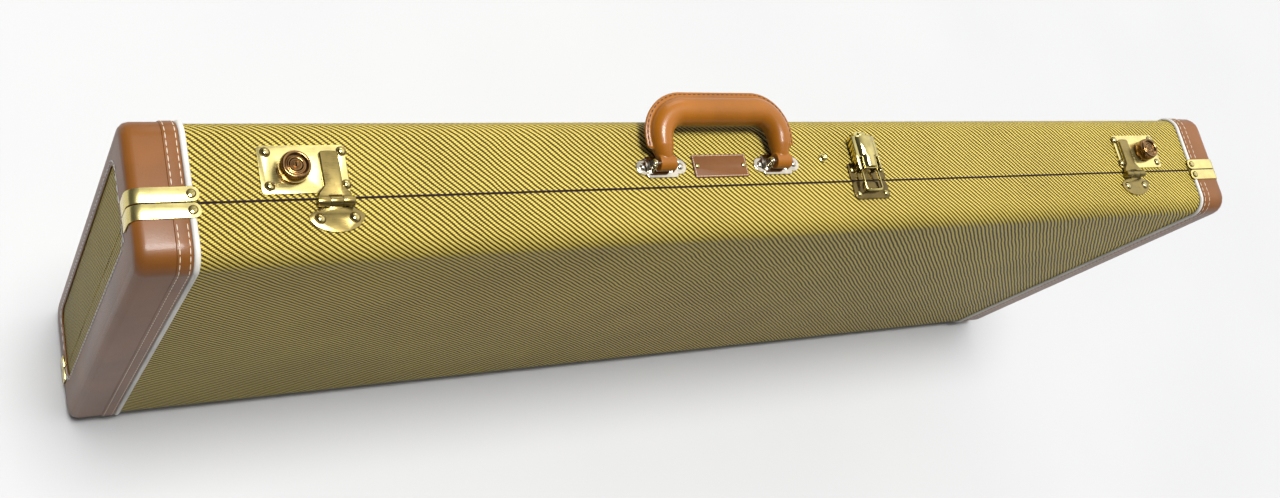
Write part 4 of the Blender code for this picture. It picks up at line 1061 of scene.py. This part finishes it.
class PadInside(bpy.types.Operator):
    """Plush beds for the guitar, the lid's lining and the accessory box with its flap"""

    bl_idname = "guitar_case.pad_inside"
    bl_label = "Padding"

    # How far the cloth starts inside the bed, and the most that it may move, in millimetres
    shrink = 1.6
    cap = 2.4
    pressure = 4.0
    last_frame = 20
    edge_reach = 5.0 * MM

    def execute(self, context):
        for node in ("body_bed", "neck_bed", "bed_floor"):
            self.plump(node, context.scene.case_sizes.pile_voxel)
        self.line_lid()
        dressed("accessory_box", "plywood", 0.5 * MM)
        flap = dressed("accessory_lid", "plush", 0.9 * MM, 3)
        return {"FINISHED"}

    def plump(self, node, voxel):
        """Cloth over foam: a slightly smaller copy, blown out to the bed's own shape."""
        pad = merged_copy(node, "padding")
        leave()
        pad.data.remesh_voxel_size = voxel
        bpy.ops.object.voxel_remesh()
        normals = [vertex.normal.copy() for vertex in pad.data.vertices]
        for vertex, normal in zip(pad.data.vertices, normals):
            vertex.co -= normal * self.shrink * MM
        self.simulate(pad)
        finer = pad.modifiers.new("Finer", "SUBSURF")
        finer.levels = finer.render_levels = 1
        pick(pad)
        bpy.ops.object.modifier_apply(modifier=finer.name)
        smooth(pad, 180.0)
        settle(pad, "plush", "base", "plush", node)

    def simulate(self, pad):
        start = [vertex.co.copy() for vertex in pad.data.vertices]
        cloth = pad.modifiers.new("Cloth", "CLOTH")
        cloth.settings.use_pressure = True
        cloth.settings.uniform_pressure_force = self.pressure
        cloth.settings.effector_weights.gravity = 0.0
        scene = bpy.context.scene
        for number in range(1, self.last_frame + 1):
            scene.frame_set(number)
        shape = pad.evaluated_get(bpy.context.evaluated_depsgraph_get())
        blown = [vertex.co.copy() for vertex in shape.data.vertices]
        pad.modifiers.remove(cloth)
        scene.frame_set(1)
        for vertex, before, after in zip(pad.data.vertices, start, blown):
            move = after - before
            if move.length > self.cap * MM:
                move *= self.cap * MM / move.length
            vertex.co = before + move

    def line_lid(self):
        """The lid's lining, a thin padded panel with soft edges."""
        low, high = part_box("lid_padding")
        size = high - low
        bpy.ops.object.select_all(action="DESELECT")
        bpy.ops.mesh.primitive_grid_add(x_subdivisions=170, y_subdivisions=60, size=1.0)
        panel = bpy.context.object
        panel.name = "lid_padding_lining"
        for vertex in panel.data.vertices:
            u, v = vertex.co.x, vertex.co.y
            rim = min(0.5 - abs(u), (0.5 - abs(v)) * size.z / size.x) * size.x
            puff = 1.0 - math.exp(-rim / self.edge_reach)
            ripple = 0.12 * math.sin(u * 37.0) * math.sin(v * 19.0 + u * 11.0)
            vertex.co = Vector(((low.x + high.x) / 2 + u * size.x,
                                low.y + size.y * (0.30 + (0.58 + ripple) * puff),
                                (low.z + high.z) / 2 + v * size.z))
        edit(panel)
        bpy.ops.mesh.extrude_region_move()
        leave()
        for vertex in panel.data.vertices:
            if vertex.select:
                vertex.co.y = low.y
        edit(panel)
        bpy.ops.mesh.normals_make_consistent(inside=False)
        leave()
        smooth(panel, 60.0)
        settle(panel, "plush", "lid", "plush", "lid_padding")


class SetStage(bpy.types.Operator):
    """A plain pale floor, studio light and the camera"""

    bl_idname = "guitar_case.set_stage"
    bl_label = "Stage"

    camera_place = (-0.657326, -0.322674, 1.16586)
    camera_turn = (22.9999, -27.6355, -14.3177)
    camera_lens = 36.834
    # Where the world's glow is, and how bright the world gets towards it
    glow = Vector((0.75, 0.25, 0.61))
    room = ((0.0, 0.07), (0.50, 0.16), (0.80, 0.85), (0.98, 1.5))

    def execute(self, context):
        bpy.ops.object.select_all(action="DESELECT")
        bpy.ops.mesh.primitive_plane_add(size=24.0)
        floor = context.object
        floor.name = "stage_floor"
        pale = Finish("stage_floor_white", roughness=0.55)
        point, *_ = pale.place()
        mottle = pale.noise(point, 0.004, 2.0)
        pale.wire("Base Color", pale.ramp(
            mottle, (0.3, (0.372, 0.372, 0.376)), (0.7, (0.382, 0.382, 0.382))))
        floor.data.materials.append(pale.material)
        world = bpy.data.worlds.new("studio")
        context.scene.world = world
        world.use_nodes = True
        self.light_room(world.node_tree)
        context.scene.view_settings.view_transform = "Standard"
        for name, place, aim, size, power in (
                ("front", (-1.2, -3.0, 1.0), (-0.2, 0, 0.2), 1.6, 2.0),
                ("back", (0.5, 3.0, 1.6), (0, 0, 0.2), 1.8, 26.0)):
            light = bpy.data.lights.new(name, "AREA")
            light.size = size
            light.energy = power
            lamp = placed(name, light)
            lamp.location = place
            aimed = (Vector(aim) - Vector(place)).to_track_quat("-Z", "Y")
            lamp.rotation_euler = aimed.to_euler()
        sky = bpy.data.lights.new("overhead", "SUN")
        sky.angle = math.radians(22.0)
        sky.energy = 5.5
        placed("overhead", sky).rotation_euler = (math.radians(-1.5), math.radians(-1.5), 0.0)
        camera = placed("camera", bpy.data.cameras.new("camera"))
        camera.location = self.camera_place
        camera.rotation_euler = [math.radians(angle) for angle in self.camera_turn]
        camera.data.lens = self.camera_lens
        camera.data.sensor_width = 36.0
        camera.data.clip_start = 0.01
        context.scene.camera = camera
        return {"FINISHED"}

    def light_room(self, tree):
        """A dim room with one glow up to one side, so that metal and leather keep their depth."""
        direction = tree.nodes.new("ShaderNodeTexCoord")
        towards = tree.nodes.new("ShaderNodeVectorMath")
        towards.operation = "DOT_PRODUCT"
        towards.inputs[1].default_value = self.glow
        ramp = tree.nodes.new("ShaderNodeValToRGB")
        tree.links.new(direction.outputs["Generated"], towards.inputs[0])
        tree.links.new(towards.outputs["Value"], ramp.inputs["Fac"])
        set_stops(ramp.color_ramp,
                  [(position, (level, level, level * 1.01)) for position, level in self.room])
        tree.links.new(ramp.outputs["Color"], tree.nodes["Background"].inputs["Color"])
        tree.nodes["Background"].inputs["Strength"].default_value = 1.0


OPERATORS = (CoverTrays, CapEnds, LayPiping, FitStrips, FitLocks, FitHasps, FitDrawLatch, FitHandle,
             FitBadge, FitHinges, PadInside, SetStage)


class CasePanel(bpy.types.Panel):
    """Sizes, colours and the steps that dress the case"""

    bl_idname = "VIEW3D_PT_guitar_case"
    bl_label = "Guitar Case"
    bl_space_type = "VIEW_3D"
    bl_region_type = "UI"
    bl_category = "Guitar Case"

    def draw(self, context):
        for group in (context.scene.case_sizes, context.scene.case_colours):
            for name in group.__annotations__:
                self.layout.prop(group, name)
        for operator in OPERATORS:
            self.layout.operator(operator.bl_idname)


CLASSES = (CaseSizes, CaseColours, *OPERATORS, CasePanel)


def register():
    for one in CLASSES:
        bpy.utils.register_class(one)
    bpy.types.Scene.case_sizes = bpy.props.PointerProperty(type=CaseSizes)
    bpy.types.Scene.case_colours = bpy.props.PointerProperty(type=CaseColours)


def unregister():
    del bpy.types.Scene.case_sizes
    del bpy.types.Scene.case_colours
    for one in reversed(CLASSES):
        bpy.utils.unregister_class(one)


def main():
    register()
    for operator in OPERATORS:
        family, name = operator.bl_idname.split(".")
        getattr(getattr(bpy.ops, family), name)()


if __name__ == "__main__":
    main()
